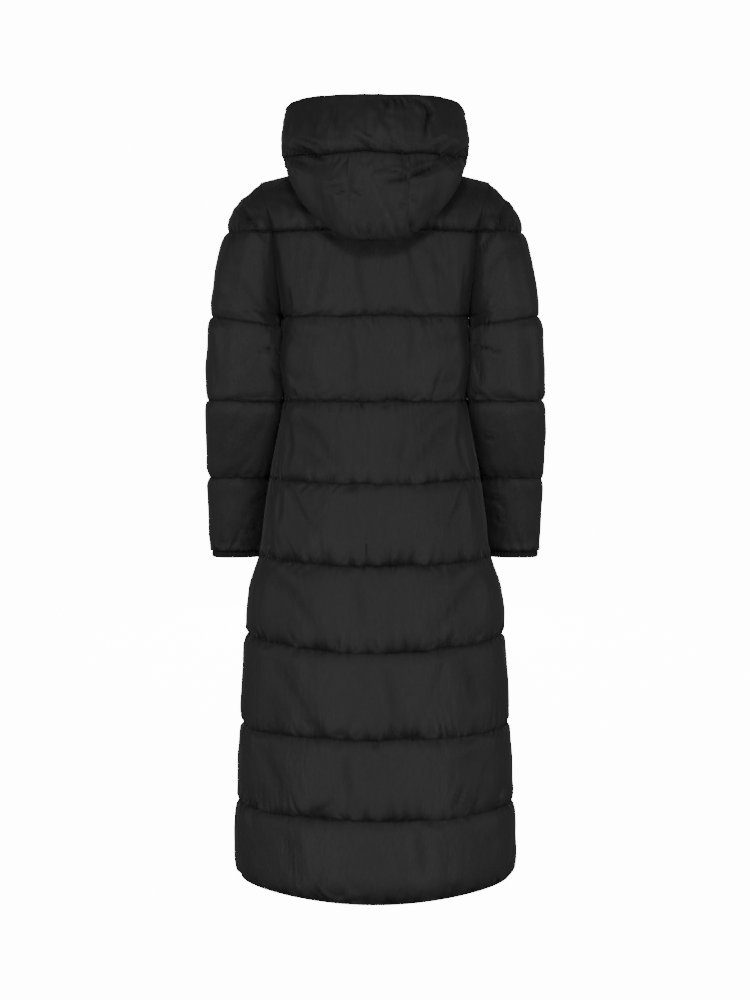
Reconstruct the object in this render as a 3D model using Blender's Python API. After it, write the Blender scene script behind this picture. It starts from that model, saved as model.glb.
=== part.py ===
# A long hooded puffer coat, filled out as if worn and empty inside. Metres, +Z up.
# The front faces -Y and the wearer's left is +X. The origin is the middle of the neck opening.
# Every piece of padded cloth is a wall: a plain lining, and an outside that the quilting raises.

import math

import bmesh
import bpy
import numpy as np
from mathutils import Matrix, Vector

COAT = "long_puffer_coat"

SEAM_GAP = 0.0003         # parting between two sewn pieces
ARMHOLE_GAP = 0.0007      # parting at the armhole, whose edges twist
SEAM_WALL = 0.0075        # thickness of the wall where it is sewn to the next piece
QUILT_WALL = 0.0090       # thickness along a quilt line
PADDING = 0.0150          # thickness in the middle of a channel
EDGE_RAMP = 0.014         # distance over which the padding swells from a sewn edge
HEM_SWELL = 0.35          # share of the padding left at the hem
GATHER_DEPTH = 0.45       # how far a gather pulls the cloth down beside a quilt line
GATHER_PITCH = 3          # grid columns from one gather to the next
GATHER_LEAST = 0.4        # share of that depth which every gather has
GATHER_TURNS = (1.9, 2.3)  # how the rest changes from column to column and from row to row
SLEEVE_CLEARANCE = 0.0030  # room between a hanging sleeve and the body

BACK_COLUMNS = 28
FRONT_COLUMNS = 10
SLEEVE_COLUMNS = 18
CHANNEL_STEPS = (0.0, 0.14, 0.5, 0.86, 1.0)       # rows of one quilted channel, top to bottom
YOKE_STEPS = (0.0, 0.2, 0.45, 0.7, 0.88, 1.0)     # rows from the shoulder to the yoke line
YOKE_DEPTH = (0.005, 0.006, 0.010, 0.014, 0.015, 0.015)    # room for padding at those rows
YOKE_SWELL = (0.0, 0.7, 1.0, 1.0, 0.75, 0.0)
TOP_PULL = (0.0, 0.62, 0.10)      # how the curve over the shoulder leaves its top edge
LINE_PULL = (0.45, 0.0, 0.55)     # how it comes in to the yoke line
SAG = 0.85                        # below 1, a channel is fullest under its middle
FULLNESS = 0.5                    # below 1, a channel fills out close to its lines

# Quilt lines of the body, top to bottom: height at the side, height at the centre.
LINES = (
    (-0.1150, -0.1085),   # yoke
    (-0.2520, -0.2520),   # chest, where the armholes end
    (-0.3950, -0.3950),   # waist
    (-0.5270, -0.5300),
    (-0.6600, -0.6680),
    (-0.7970, -0.8120),
    (-0.9520, -0.9570),
    (-1.0870, -1.0910),
    (-1.2220, -1.2380),   # hem
)
LINE_BOW = 3.0             # above 1, the drop of a line gathers towards the centre

# Body sections, measured over the padding: height, half width, back depth, front depth,
# squareness (2 is an ellipse, and more is squarer at the corners).
BODY = (
    (-0.108, 0.202, 0.126, 0.134, 3.2),
    (-0.18, 0.178, 0.131, 0.143, 3.4),
    (-0.252, 0.16, 0.132, 0.143, 3.4),
    (-0.32, 0.165, 0.13, 0.138, 3.3),
    (-0.395, 0.158, 0.126, 0.13, 3.1),
    (-0.46, 0.168, 0.135, 0.134, 2.8),
    (-0.527, 0.181, 0.147, 0.138, 2.55),
    (-0.59, 0.19, 0.154, 0.142, 2.4),
    (-0.66, 0.2, 0.16, 0.146, 2.3),
    (-0.72, 0.22, 0.167, 0.152, 2.2),
    (-0.797, 0.2275, 0.171, 0.156, 2.15),
    (-0.952, 0.2365, 0.177, 0.16, 2.1),
    (-1.087, 0.2435, 0.182, 0.164, 2.1),
    (-1.168, 0.2475, 0.186, 0.166, 2.1),
    (-1.205, 0.246, 0.186, 0.165, 2.1),
    (-1.238, 0.236, 0.178, 0.157, 2.1),
)

# Armhole edge of the front and the back below the yoke: height, distance from the middle.
ARMHOLE = (
    (-0.252, 0.1600),
    (-0.2315, 0.1605),
    (-0.205, 0.1635),
    (-0.180, 0.1660),
    (-0.108, 0.1710),
)

# Neckline and shoulder, measured over the padding.
NECK_HALF_WIDTH = 0.085
NECK_BACK = 0.075
NECK_FRONT = 0.088
NECK_HEIGHT = (-0.004, 0.003, -0.052)     # centre back, side, centre front
SHOULDER_TIP = (0.195, 0.0, -0.0245)
SHOULDER_LIFT = (0.30, 0.0, 0.954)        # direction of the padding along the shoulder seam
NECK_SHARE = 0.50                         # share of a top edge that is neckline

# Sleeve head, over the padding: height on the armhole, outer height, outer x, half depth.
SLEEVE_HEAD = (
    (-0.0245, -0.0245, 0.195, 0.0),
    (-0.034, -0.036, 0.212, 0.03),
    (-0.052, -0.059, 0.2345, 0.058),
    (-0.078, -0.083, 0.248, 0.085),
    (-0.1, -0.099, 0.2535, 0.099),
    (-0.115, -0.109, 0.2575, 0.103),
    (-0.136, -0.127, 0.263, 0.105),
    (-0.1835, -0.172, 0.273, 0.104),
    (-0.2315, -0.217, 0.2795, 0.1),
    (-0.252, -0.235, 0.282, 0.097),
)
SLEEVE_SQUARE = (2.0, 2.5)  # squareness of the sleeve at its tip and below the armhole

# Sleeve below the armhole, over the padding:
# outer height, inner height, outer x, inner x, middle y, half depth,
# share of the padding, depth of the lining.
SLEEVE = (
    (-0.252, -0.272, 0.286, 0.14, 0.0, 0.096, 0.0, 0.015),
    (-0.272, -0.29, 0.2875, 0.14, 0.0, 0.095, 0.8, 0.015),
    (-0.324, -0.335, 0.29, 0.14, -0.004, 0.092, 1.0, 0.015),
    (-0.376, -0.38, 0.2935, 0.14, -0.011, 0.089, 0.8, 0.015),
    (-0.396, -0.398, 0.295, 0.14, -0.015, 0.088, 0.0, 0.015),
    (-0.416, -0.418, 0.295, 0.142, -0.02, 0.087, 0.8, 0.015),
    (-0.465, -0.465, 0.295, 0.15, -0.036, 0.083, 1.0, 0.015),
    (-0.512, -0.512, 0.295, 0.16, -0.053, 0.078, 0.8, 0.015),
    (-0.532, -0.531, 0.2955, 0.164, -0.06, 0.075, 0.0, 0.015),
    (-0.552, -0.551, 0.2945, 0.168, -0.066, 0.072, 0.8, 0.015),
    (-0.6, -0.598, 0.2925, 0.175, -0.076, 0.066, 1.0, 0.015),
    (-0.642, -0.64, 0.2915, 0.182, -0.08, 0.057, 0.8, 0.012),
    (-0.66, -0.659, 0.2895, 0.191, -0.08, 0.051, 0.0, 0.006),
)
SLEEVE_HEAD_SWELL = (0.0, 0.7, 1.0, 1.0, 0.75, 0.0, 0.75, 1.0, 1.0, 0.7)
CUFF_DEPTH = 0.011         # height of the elastic binding at the wrist
CUFF_WALL = 0.003
CUFF_STEPS = (0.0, 1.0)

# Hood, folded down behind the neck. Each table gives, for an angle round the neck from the
# centre back, how far out and how high a line of the section lies, over the padding.
HOOD_ANGLES = (0, 15, 30, 45, 60, 75, 90, 110, 135, 172)
HOOD_STAND = ((0.092, 0.022), (0.092, 0.022), (0.094, 0.022), (0.096, 0.021), (0.098, 0.019),
              (0.100, 0.017), (0.101, 0.015), (0.100, 0.008), (0.101, -0.016), (0.099, -0.047))
HOOD_INNER = ((0.146, -0.030), (0.147, -0.030), (0.148, -0.022), (0.145, -0.006), (0.137, 0.004),
              (0.127, 0.008), (0.120, 0.010), (0.114, 0.005), (0.111, -0.015), (0.107, -0.045))
HOOD_FOLD = ((0.172, -0.129), (0.173, -0.126), (0.176, -0.099), (0.178, -0.056), (0.166, -0.014),
             (0.151, 0.000), (0.139, 0.005), (0.130, 0.003), (0.121, -0.013), (0.114, -0.041))
HOOD_BELLY = ((0.205, -0.045), (0.205, -0.044), (0.204, -0.034), (0.199, -0.013), (0.178, 0.002),
              (0.160, 0.008), (0.150, 0.011), (0.140, 0.008), (0.129, -0.006), (0.119, -0.033))
HOOD_SEAM = ((0.192, 0.010), (0.193, 0.010), (0.193, 0.011), (0.191, 0.012), (0.178, 0.015),
             (0.162, 0.017), (0.154, 0.018), (0.146, 0.014), (0.134, 0.003), (0.121, -0.022))
HOOD_BAND = ((0.187, 0.056), (0.188, 0.056), (0.189, 0.056), (0.189, 0.056), (0.180, 0.054),
             (0.1625, 0.052), (0.157, 0.050), (0.150, 0.045), (0.138, 0.034), (0.123, 0.014))
HOOD_RIM = ((0.152, 0.109), (0.154, 0.109), (0.159, 0.109), (0.164, 0.107), (0.166, 0.099),
            (0.158, 0.089), (0.150, 0.080), (0.140, 0.071), (0.128, 0.060), (0.115, 0.044))
HOOD_LEFT_SEAM = 12.5      # degrees from the centre back
HOOD_RIGHT_SEAM = -16.0
HOOD_FRONT = 170.0
HOOD_GAP = 0.0004          # parting at the seams of the hood, which curve more
HOOD_WALL = 0.0040         # thickness of the wall at the neckline and the seams of the hood
HOOD_LIFT = 0.0009         # the hood starts this far above the neckline of the panels
HOOD_CENTRE_COLUMNS = 6
HOOD_SIDE_COLUMNS = 14
HOOD_ROW_PARTS = 2         # grid rows from one line of the section to the next
HOOD_PADDING = (0.004, 0.004, 0.005, 0.010, 0.015, 0.010)   # neck, stand, inner, fold, belly, seam
BAND_PADDING = (0.010, 0.015, 0.009)                        # seam, middle, rim

# Zip, closed up to the neck.
ZIP_HALF_WIDTH = 0.012
CHAIN_HALF_WIDTH = 0.003
TAPE_WALL = 0.0015
CHAIN_WALL = 0.0032
SLIDER_STEP = 0.45         # place of the slider between the neckline and the yoke line
SLIDER_SIZE = (0.0090, 0.0030, 0.0120)
LUG_SIZE = (0.0012, 0.0042, 0.0040)
LUG_SPREAD = 0.0030        # from the middle to the middle of a lug
PIN_RADIUS = 0.0007
PIN_HEIGHT = 0.0030        # from the slider's face to the middle of the pin
EYE_RADIUS = 0.0020
EYE_BORE = 0.0011
PULL_SIZE = (0.0042, 0.0014, 0.0240)
PULL_START = 0.0003        # metal between the bore of the eye and the blade of the pull
METAL_OVERLAP = 0.0002     # how far the lugs run into the slider
ROUND_SIDES = 12           # sides of a pin or an eye

CLOTH_COLOUR = (0.017, 0.017, 0.018, 1.0)
TRIM_COLOUR = (0.010, 0.010, 0.011, 1.0)
METAL_COLOUR = (0.055, 0.055, 0.058, 1.0)
CLOTH_ROUGHNESS = 0.5
BINDING_ROUGHNESS = 0.8
ZIP_ROUGHNESS = 0.45
METAL_ROUGHNESS = 0.35

WELD = 0.00001             # points nearer than this are one point
CREASE = 50.0              # degrees between two faces that show an edge


def read(rows, column, at):
    """One column of a table at any place, on a smooth curve through its rows."""
    ordered = sorted(rows, key=lambda row: row[0])
    places = [row[0] for row in ordered]
    values = [row[column] for row in ordered]
    at = min(max(at, places[0]), places[-1])
    last = len(places) - 2
    index = min(int(np.searchsorted(places, at, side="right")) - 1, last)
    width = places[index + 1] - places[index]
    share = (at - places[index]) / width

    def slope(place):
        low = max(place - 1, 0)
        high = min(place + 1, len(places) - 1)
        return (values[high] - values[low]) / (places[high] - places[low])

    start = slope(index) * width
    end = slope(index + 1) * width
    rise = values[index + 1] - values[index]
    return (values[index] + start * share
            + (3 * rise - 2 * start - end) * share ** 2
            + (start + end - 2 * rise) * share ** 3)


def corner(angle, square):
    """How far a squarer section reaches beyond an ellipse at an angle."""
    return (abs(math.sin(angle)) ** square + abs(math.cos(angle)) ** square) ** (-1 / square)


def corner_angle(share, square):
    """Angle at which a section of that squareness is a given share of its half width wide."""
    share = min(share, 0.9999999) ** square
    return math.atan((share / (1 - share)) ** (1 / square))


def body_point(angle, height):
    """Outside of the body at an angle in radians: 0 centre back, a quarter turn the left side."""
    depth = read(BODY, 2 if math.cos(angle) > 0 else 3, height)
    width = read(BODY, 1, height)
    reach = corner(angle, read(BODY, 4, height))
    return np.array((width * reach * math.sin(angle), depth * reach * math.cos(angle), height))


def edge_angle(height):
    """Angle from the centre at which a panel ends: the armhole, or the side seam below it."""
    if height <= LINES[1][0]:
        return math.pi / 2
    share = read(ARMHOLE, 1, height) / read(BODY, 1, height)
    return corner_angle(share, read(BODY, 4, height)) if share < 1 else math.pi / 2


def line_height(line, angle):
    """Height of a quilt line at an angle: it hangs a little lower at the centre."""
    side, centre = LINES[line]
    return side + (centre - side) * abs(math.cos(angle)) ** LINE_BOW


def channel_row(line, step, angles):
    """One row of points across a channel below a quilt line."""
    row = []
    for angle in angles:
        top = line_height(line, angle)
        bottom = line_height(line + 1, angle)
        row.append(body_point(angle, top + (bottom - top) * step))
    return row


def neck_point(angle):
    """Point of the neckline at an angle in radians round the neck from the centre back."""
    back, side, front = NECK_HEIGHT
    depth = NECK_BACK if math.cos(angle) > 0 else NECK_FRONT
    end = back if math.cos(angle) > 0 else front
    height = side + (end - side) * math.cos(angle) ** 2
    return np.array((NECK_HALF_WIDTH * math.sin(angle), depth * math.cos(angle), height))


def top_point(share, centre_angle):
    """Top edge of a panel: 0 at the shoulder tip, then the shoulder and the neckline to 1."""
    shoulder_share = 1 - NECK_SHARE
    if share < shoulder_share:
        reach = share / shoulder_share
        return np.array(SHOULDER_TIP) * (1 - reach) + neck_point(math.pi / 2) * reach
    reach = (share - shoulder_share) / NECK_SHARE
    return neck_point(math.pi / 2 + (centre_angle - math.pi / 2) * reach)


def shoulder_row(step, tops, bottoms):
    """One row between a top edge and the yoke line, over the round of the shoulder."""
    row = []
    for top, bottom in zip(tops, bottoms):
        near_top = top + (bottom - top) * np.array(TOP_PULL)
        near_bottom = bottom + (top - bottom) * np.array(LINE_PULL)
        rest = 1 - step
        row.append(top * rest ** 3 + near_top * 3 * rest ** 2 * step
                   + near_bottom * 3 * rest * step ** 2 + bottom * step ** 3)
    return row


def back_angles(edge):
    return [edge * (2 * column / BACK_COLUMNS - 1) for column in range(BACK_COLUMNS + 1)]


def front_angles(edge, height):
    """From the left side seam or armhole to the left edge of the zip."""
    share = ZIP_HALF_WIDTH / read(BODY, 1, height)
    centre = math.pi - corner_angle(share, read(BODY, 4, height))
    return [math.pi - edge + (centre - math.pi + edge) * column / FRONT_COLUMNS
            for column in range(FRONT_COLUMNS + 1)]


def channel_edge(line, step):
    top = LINES[line][0]
    return top + (LINES[line + 1][0] - top) * step


def yoke_points():
    angles = back_angles(edge_angle(LINES[0][0]))
    bottoms = channel_row(0, 0.0, angles)
    tops = []
    for column in range(BACK_COLUMNS + 1):
        across = 2 * column / BACK_COLUMNS - 1
        top = top_point(1 - abs(across), 0.0)
        tops.append(top * np.array((math.copysign(1, across), 1, 1)))
    return np.array([shoulder_row(step, tops, bottoms) for step in YOKE_STEPS])


def back_points():
    rows = []
    for line in range(len(LINES) - 1):
        for step in CHANNEL_STEPS[0 if line == 0 else 1:]:
            angles = back_angles(edge_angle(channel_edge(line, step)))
            rows.append(channel_row(line, step, angles))
    return np.array(rows)


def front_points():
    """Left front, from the shoulder to the hem; its last column runs along the zip."""
    angles = front_angles(edge_angle(LINES[0][0]), LINES[0][0])
    bottoms = channel_row(0, 0.0, angles)
    zip_turn = math.pi - math.asin(ZIP_HALF_WIDTH / NECK_HALF_WIDTH)
    tops = [top_point(column / FRONT_COLUMNS, zip_turn) for column in range(FRONT_COLUMNS + 1)]
    rows = [shoulder_row(step, tops, bottoms) for step in YOKE_STEPS]
    for line in range(len(LINES) - 1):
        for step in CHANNEL_STEPS[1:]:
            height = channel_edge(line, step)
            rows.append(channel_row(line, step, front_angles(edge_angle(height), height)))
    return np.array(rows)


def clear_of_body(point):
    """The side of the body presses a sleeve outwards, which keeps the two apart."""
    depth = read(BODY, 2 if point[1] > 0 else 3, point[2])
    square = read(BODY, 4, point[2])
    reach = max(1 - abs(point[1] / depth) ** square, 0.0) ** (1 / square)
    limit = read(BODY, 1, point[2]) * reach + SLEEVE_CLEARANCE
    return np.array((max(point[0], limit), point[1], point[2]))


def head_row(armhole):
    """Sleeve row that is open towards the body: it starts and ends on the armhole."""
    inner_x, edge_y, inner_z = armhole
    outer_z = read(SLEEVE_HEAD, 1, inner_z)
    outer_x = read(SLEEVE_HEAD, 2, inner_z)
    depth = max(read(SLEEVE_HEAD, 3, inner_z), edge_y)
    tip, underarm = SLEEVE_SQUARE
    fall = (SHOULDER_TIP[2] - inner_z) / (SHOULDER_TIP[2] - LINES[1][0])
    square = tip + (underarm - tip) * fall
    end = math.pi - corner_angle(edge_y / depth, square)
    back = corner(end, square) * math.cos(end)
    width = (outer_x - inner_x) / (1 - back)
    row = []
    for column in range(SLEEVE_COLUMNS + 1):
        turn = end * (1 - 2 * column / SLEEVE_COLUMNS)
        reach = corner(turn, square)
        side = reach * math.cos(turn)
        row.append((outer_x - width + width * side,
                    depth * reach * math.sin(turn),
                    inner_z + (outer_z - inner_z) * (side - back) / (1 - back)))
    return row


def ring_row(outer_z, inner_z, outer_x, inner_x, middle_y, depth):
    """Closed sleeve row below the armhole."""
    row = []
    for column in range(SLEEVE_COLUMNS + 1):
        turn = math.pi * (1 - 2 * column / SLEEVE_COLUMNS)
        reach = corner(turn, SLEEVE_SQUARE[1])
        side = (reach * math.cos(turn) + 1) / 2
        point = (inner_x + (outer_x - inner_x) * side,
                 middle_y + depth * reach * math.sin(turn),
                 inner_z + (outer_z - inner_z) * side)
        row.append(clear_of_body(point))
    return row


def armhole_points():
    """The left armhole's back edge, from the shoulder tip to the underarm."""
    edge = [row[-1] for row in yoke_points()]
    edge += [row[-1] for row in back_points()[1:len(CHANNEL_STEPS)]]
    return np.array(edge)


def sleeve_points():
    rows = [[SHOULDER_TIP] * (SLEEVE_COLUMNS + 1)]
    rows += [head_row(point) for point in armhole_points()[1:]]
    rows += [ring_row(*section[:6]) for section in SLEEVE]
    return np.array(rows)


def hood_table(pairs):
    return [(angle, out, height) for angle, (out, height) in zip(HOOD_ANGLES, pairs)]


def hood_row(table, angles):
    row = []
    for angle in angles:
        out = read(table, 1, abs(angle))
        turn = math.radians(angle)
        row.append((out * math.sin(turn), out * math.cos(turn), read(table, 2, abs(angle))))
    return row


def curved_rows(rows, parts):
    """Rows added between the given rows, on a smooth curve down each column."""
    rows = np.array(rows)
    count = len(rows)
    finer = []
    for index in range(count - 1):
        before = rows[max(index - 1, 0)]
        after = rows[min(index + 2, count - 1)]
        start = (rows[index + 1] - before) / 2
        end = (after - rows[index]) / 2
        rise = rows[index + 1] - rows[index]
        for part in range(parts):
            share = part / parts
            finer.append(rows[index] + start * share
                         + (3 * rise - 2 * start - end) * share ** 2
                         + (start + end - 2 * rise) * share ** 3)
    finer.append(rows[-1])
    return np.array(finer)


def spaced(start, end, columns):
    return [start + (end - start) * column / columns for column in range(columns + 1)]


def hood_points(angles):
    """Hood panel from the neckline, over the stand, down and round the fold, to the band seam."""
    neck = [neck_point(math.radians(angle)) + np.array((0, 0, HOOD_LIFT)) for angle in angles]
    rows = [neck]
    for pairs in (HOOD_STAND, HOOD_INNER, HOOD_FOLD, HOOD_BELLY, HOOD_SEAM):
        rows.append(hood_row(hood_table(pairs), angles))
    return curved_rows(rows, HOOD_ROW_PARTS)


def band_points(angles):
    rows = [hood_row(hood_table(pairs), angles) for pairs in (HOOD_SEAM, HOOD_BAND, HOOD_RIM)]
    return curved_rows(rows, HOOD_ROW_PARTS)


def outward(points, sign=1):
    """Unit normals of a grid of points, by the cross product of its two directions."""
    down = np.gradient(points, axis=0)
    across = np.gradient(points, axis=1)
    normal = np.cross(down, across) * sign
    length = np.linalg.norm(normal, axis=2, keepdims=True)
    return normal / np.maximum(length, 1e-9)


def unit(vectors):
    return vectors / np.linalg.norm(vectors, axis=-1, keepdims=True)


def edge_swell(points, edges):
    """0 on the sewn edges of a grid, rising to 1 inside it; edges are 'first' and 'last'."""
    steps = np.linalg.norm(np.diff(points, axis=1), axis=2)
    from_first = np.concatenate([np.zeros((len(points), 1)), np.cumsum(steps, axis=1)], axis=1)
    from_last = from_first[:, -1:] - from_first
    swell = np.ones(points.shape[:2])
    if "first" in edges:
        swell = np.minimum(swell, from_first / EDGE_RAMP)
    if "last" in edges:
        swell = np.minimum(swell, from_last / EDGE_RAMP)
    return np.sin(np.clip(swell, 0, 1) * math.pi / 2)


def channel_swell(steps):
    """Share of the padding at each row of a channel; it sags towards the lower line."""
    return [math.sin(math.pi * step ** SAG) ** FULLNESS if 0 < step < 1 else 0.0
            for step in steps]


def gathered(swell, phase):
    """Uneven gathers beside the quilt lines, which are the rows that do not swell."""
    pulled = swell.copy()
    by_column, by_row = GATHER_TURNS
    for row in range(swell.shape[0]):
        beside = row + 1 < swell.shape[0] and swell[row + 1].max() == 0
        beside = beside or (row > 0 and swell[row - 1].max() == 0)
        if not beside or swell[row].max() == 0:
            continue
        for column in range(1 + (row + phase) % GATHER_PITCH, swell.shape[1] - 1, GATHER_PITCH):
            wave = abs(math.sin(by_column * column + by_row * row + phase))
            pulled[row, column] *= 1 - GATHER_DEPTH * (GATHER_LEAST + (1 - GATHER_LEAST) * wave)
    return pulled


def quilted(row_swell, depths, side, phase):
    """Thickness of a quilted wall at each grid point, never more than the room for it."""
    swell = np.repeat(np.array(row_swell)[:, None], side.shape[1], axis=1)
    swell = gathered(swell, phase)
    thickness = QUILT_WALL + (PADDING - QUILT_WALL) * swell
    thickness = np.minimum(thickness, np.array(depths)[:, None])
    sewn = np.minimum(SEAM_WALL, thickness)
    return sewn + (thickness - sewn) * side


def material(name, colour, roughness, metallic=0.0):
    made = bpy.data.materials.new(name)
    made.use_nodes = True
    shader = made.node_tree.nodes["Principled BSDF"]
    shader.inputs["Base Color"].default_value = colour
    shader.inputs["Roughness"].default_value = roughness
    shader.inputs["Metallic"].default_value = metallic
    return made


def add_object(name, mesh, collection, finish):
    made = bpy.data.objects.new(name, mesh)
    mesh.materials.append(finish)
    collection.objects.link(made)
    return made


def wall(name, outside, normals, depth, thickness, collection, finish):
    """A closed wall from a grid: the lining lies a depth inside, and the cloth above that."""
    lining = outside - normals * np.array(depth)[:, None, None]
    raised = lining + normals * thickness[:, :, None]
    rows, columns = outside.shape[:2]
    cage = bmesh.new()
    place = cage.verts.layers.int.new("place")
    bmesh.ops.create_grid(cage, x_segments=columns - 1, y_segments=rows - 1, size=0.5)
    for vert in cage.verts:
        column = round((vert.co.x + 0.5) * (columns - 1))
        row = round((0.5 - vert.co.y) * (rows - 1))
        vert[place] = row * columns + column
        vert.co = lining[row, column]
    bmesh.ops.remove_doubles(cage, verts=cage.verts, dist=WELD)
    region = cage.faces[:] + cage.edges[:] + cage.verts[:]
    made = bmesh.ops.extrude_face_region(cage, geom=region, use_keep_orig=True)
    for vert in made["geom"]:
        if isinstance(vert, bmesh.types.BMVert):
            vert.co = raised[divmod(vert[place], columns)]
    bmesh.ops.recalc_face_normals(cage, faces=cage.faces)
    mesh = bpy.data.meshes.new(name)
    cage.to_mesh(mesh)
    cage.free()
    mesh.shade_smooth()
    mesh.set_sharp_from_angle(angle=math.radians(CREASE))
    return add_object(name, mesh, collection, finish)


def mirrored(points):
    return points * np.array((-1, 1, 1))


def share_edge(*edges):
    """Sewn edges lean the same way: each given stretch of normals becomes their average."""
    average = unit(sum(edge.copy() for edge in edges))
    for edge in edges:
        edge[:] = average


def body_swell():
    swell = channel_swell(CHANNEL_STEPS)
    rows = [0.0]
    for _ in range(len(LINES) - 1):
        rows += swell[1:]
    rows[-1] = HEM_SWELL
    return rows


def pieces():
    """Outside points and shared normals of the yoke, back, left front and left sleeve."""
    yoke = yoke_points()
    back = back_points()
    front = front_points()
    sleeve = sleeve_points()
    yoke_out = outward(yoke, -1)
    back_out = outward(back, -1)
    front_out = outward(front, -1)
    sleeve_out = outward(sleeve, -1)
    lift = np.array(SHOULDER_LIFT)
    shoulder = round((1 - NECK_SHARE) * FRONT_COLUMNS)
    front_out[0, :shoulder + 1] = lift
    for column in range(BACK_COLUMNS + 1):
        across = 2 * column / BACK_COLUMNS - 1
        if 1 - abs(across) <= 1 - NECK_SHARE:
            yoke_out[0, column] = lift * (math.copysign(1, across), 1, 1)
    sleeve_out[0] = lift
    share_edge(yoke_out[-1], back_out[0])
    yoke_rows = len(YOKE_STEPS)
    head_rows = yoke_rows + len(CHANNEL_STEPS) - 1
    share_edge(yoke_out[1:-1, -1], sleeve_out[1:yoke_rows - 1, 0])
    share_edge(front_out[1:head_rows - 1, 0], sleeve_out[1:head_rows - 1, -1])
    chest = len(CHANNEL_STEPS) - 1
    share_edge(back_out[:chest, -1], sleeve_out[yoke_rows - 1:head_rows - 1, 0])
    yoke_out[-1, -1] = back_out[0, -1]
    share_edge(back_out[chest, -1], front_out[head_rows - 1, 0],
               sleeve_out[head_rows - 1, 0], sleeve_out[head_rows - 1, -1])
    share_edge(back_out[chest + 1:, -1], front_out[head_rows:, 0])
    share_edge(sleeve_out[head_rows:, 0], sleeve_out[head_rows:, -1])
    front_out[:, -1] = unit(front_out[:, -1] * (0, 1, 1))
    sleeve_out[-1] = unit(sleeve_out[-1] * (1, 1, 0))
    yoke_out[:, 0] = mirrored(yoke_out[:, -1])
    back_out[:, 0] = mirrored(back_out[:, -1])
    return yoke, yoke_out, back, back_out, front, front_out, sleeve, sleeve_out


def build_body(collection, cloth):
    yoke, yoke_out, back, back_out, front, front_out, sleeve, sleeve_out = pieces()
    depths = list(YOKE_DEPTH) + [PADDING] * (len(back) - 1)
    swell = list(YOKE_SWELL[:-1]) + body_swell()
    behind = np.array((0, SEAM_GAP / 2, 0))
    above = np.array((0, 0, SEAM_GAP))
    yoke_side = edge_swell(yoke, "first last")
    wall("back_yoke", yoke + behind + above, yoke_out, YOKE_DEPTH,
         quilted(YOKE_SWELL, YOKE_DEPTH, yoke_side, 0), collection, cloth)
    back_side = edge_swell(back, "first last")
    wall("back_panel", back + behind, back_out, [PADDING] * len(back),
         quilted(body_swell(), [PADDING] * len(back), back_side, 1), collection, cloth)
    thickness = quilted(swell, depths, edge_swell(front, "first last"), 2)
    wall("front_left", front - behind, front_out, depths, thickness, collection, cloth)
    wall("front_right", mirrored(front - behind), mirrored(front_out), depths, thickness,
         collection, cloth)
    build_zip(front, front_out, depths, collection)
    build_sleeves(sleeve, sleeve_out, collection, cloth)


def build_sleeves(sleeve, sleeve_out, collection, cloth):
    head_rows = len(SLEEVE_HEAD_SWELL)
    depths = list(YOKE_DEPTH) + [PADDING] * (head_rows - len(YOKE_DEPTH))
    depths += [section[7] for section in SLEEVE]
    swell = list(SLEEVE_HEAD_SWELL) + [section[6] for section in SLEEVE]
    side = edge_swell(sleeve, "first last")
    side[head_rows:] = 1.0
    side[-1] = 0.0
    thickness = quilted(swell, depths, side, 1)
    thickness[head_rows:, -1] = thickness[head_rows:, 0]
    apart = sleeve + np.array((ARMHOLE_GAP, 0, 0))
    wall("sleeve_left", apart, sleeve_out, depths, thickness, collection, cloth)
    wall("sleeve_right", mirrored(apart), mirrored(sleeve_out), depths, thickness,
         collection, cloth)
    build_cuffs(apart, sleeve_out, depths[-1], collection)


def build_cuffs(sleeve, sleeve_out, depth, collection):
    """The binding carries on from the sleeve's last row, straight down."""
    rubber = material("binding", TRIM_COLOUR, BINDING_ROUGHNESS)
    rows = len(CUFF_STEPS)
    level = sleeve_out[-1] * np.array((1, 1, 0))
    around = np.array([unit(level)] * rows)
    lining = sleeve[-1] - sleeve_out[-1] * depth
    drop = np.array((0, 0, -1))
    ring = [lining + drop * (SEAM_GAP * 2 + CUFF_DEPTH * step) for step in CUFF_STEPS]
    thickness = np.full(around.shape[:2], CUFF_WALL)
    for name, turn in (("cuff_left", np.array), ("cuff_right", mirrored)):
        wall(name, turn(ring), turn(around), [0.0] * rows, thickness, collection, rubber)


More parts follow.
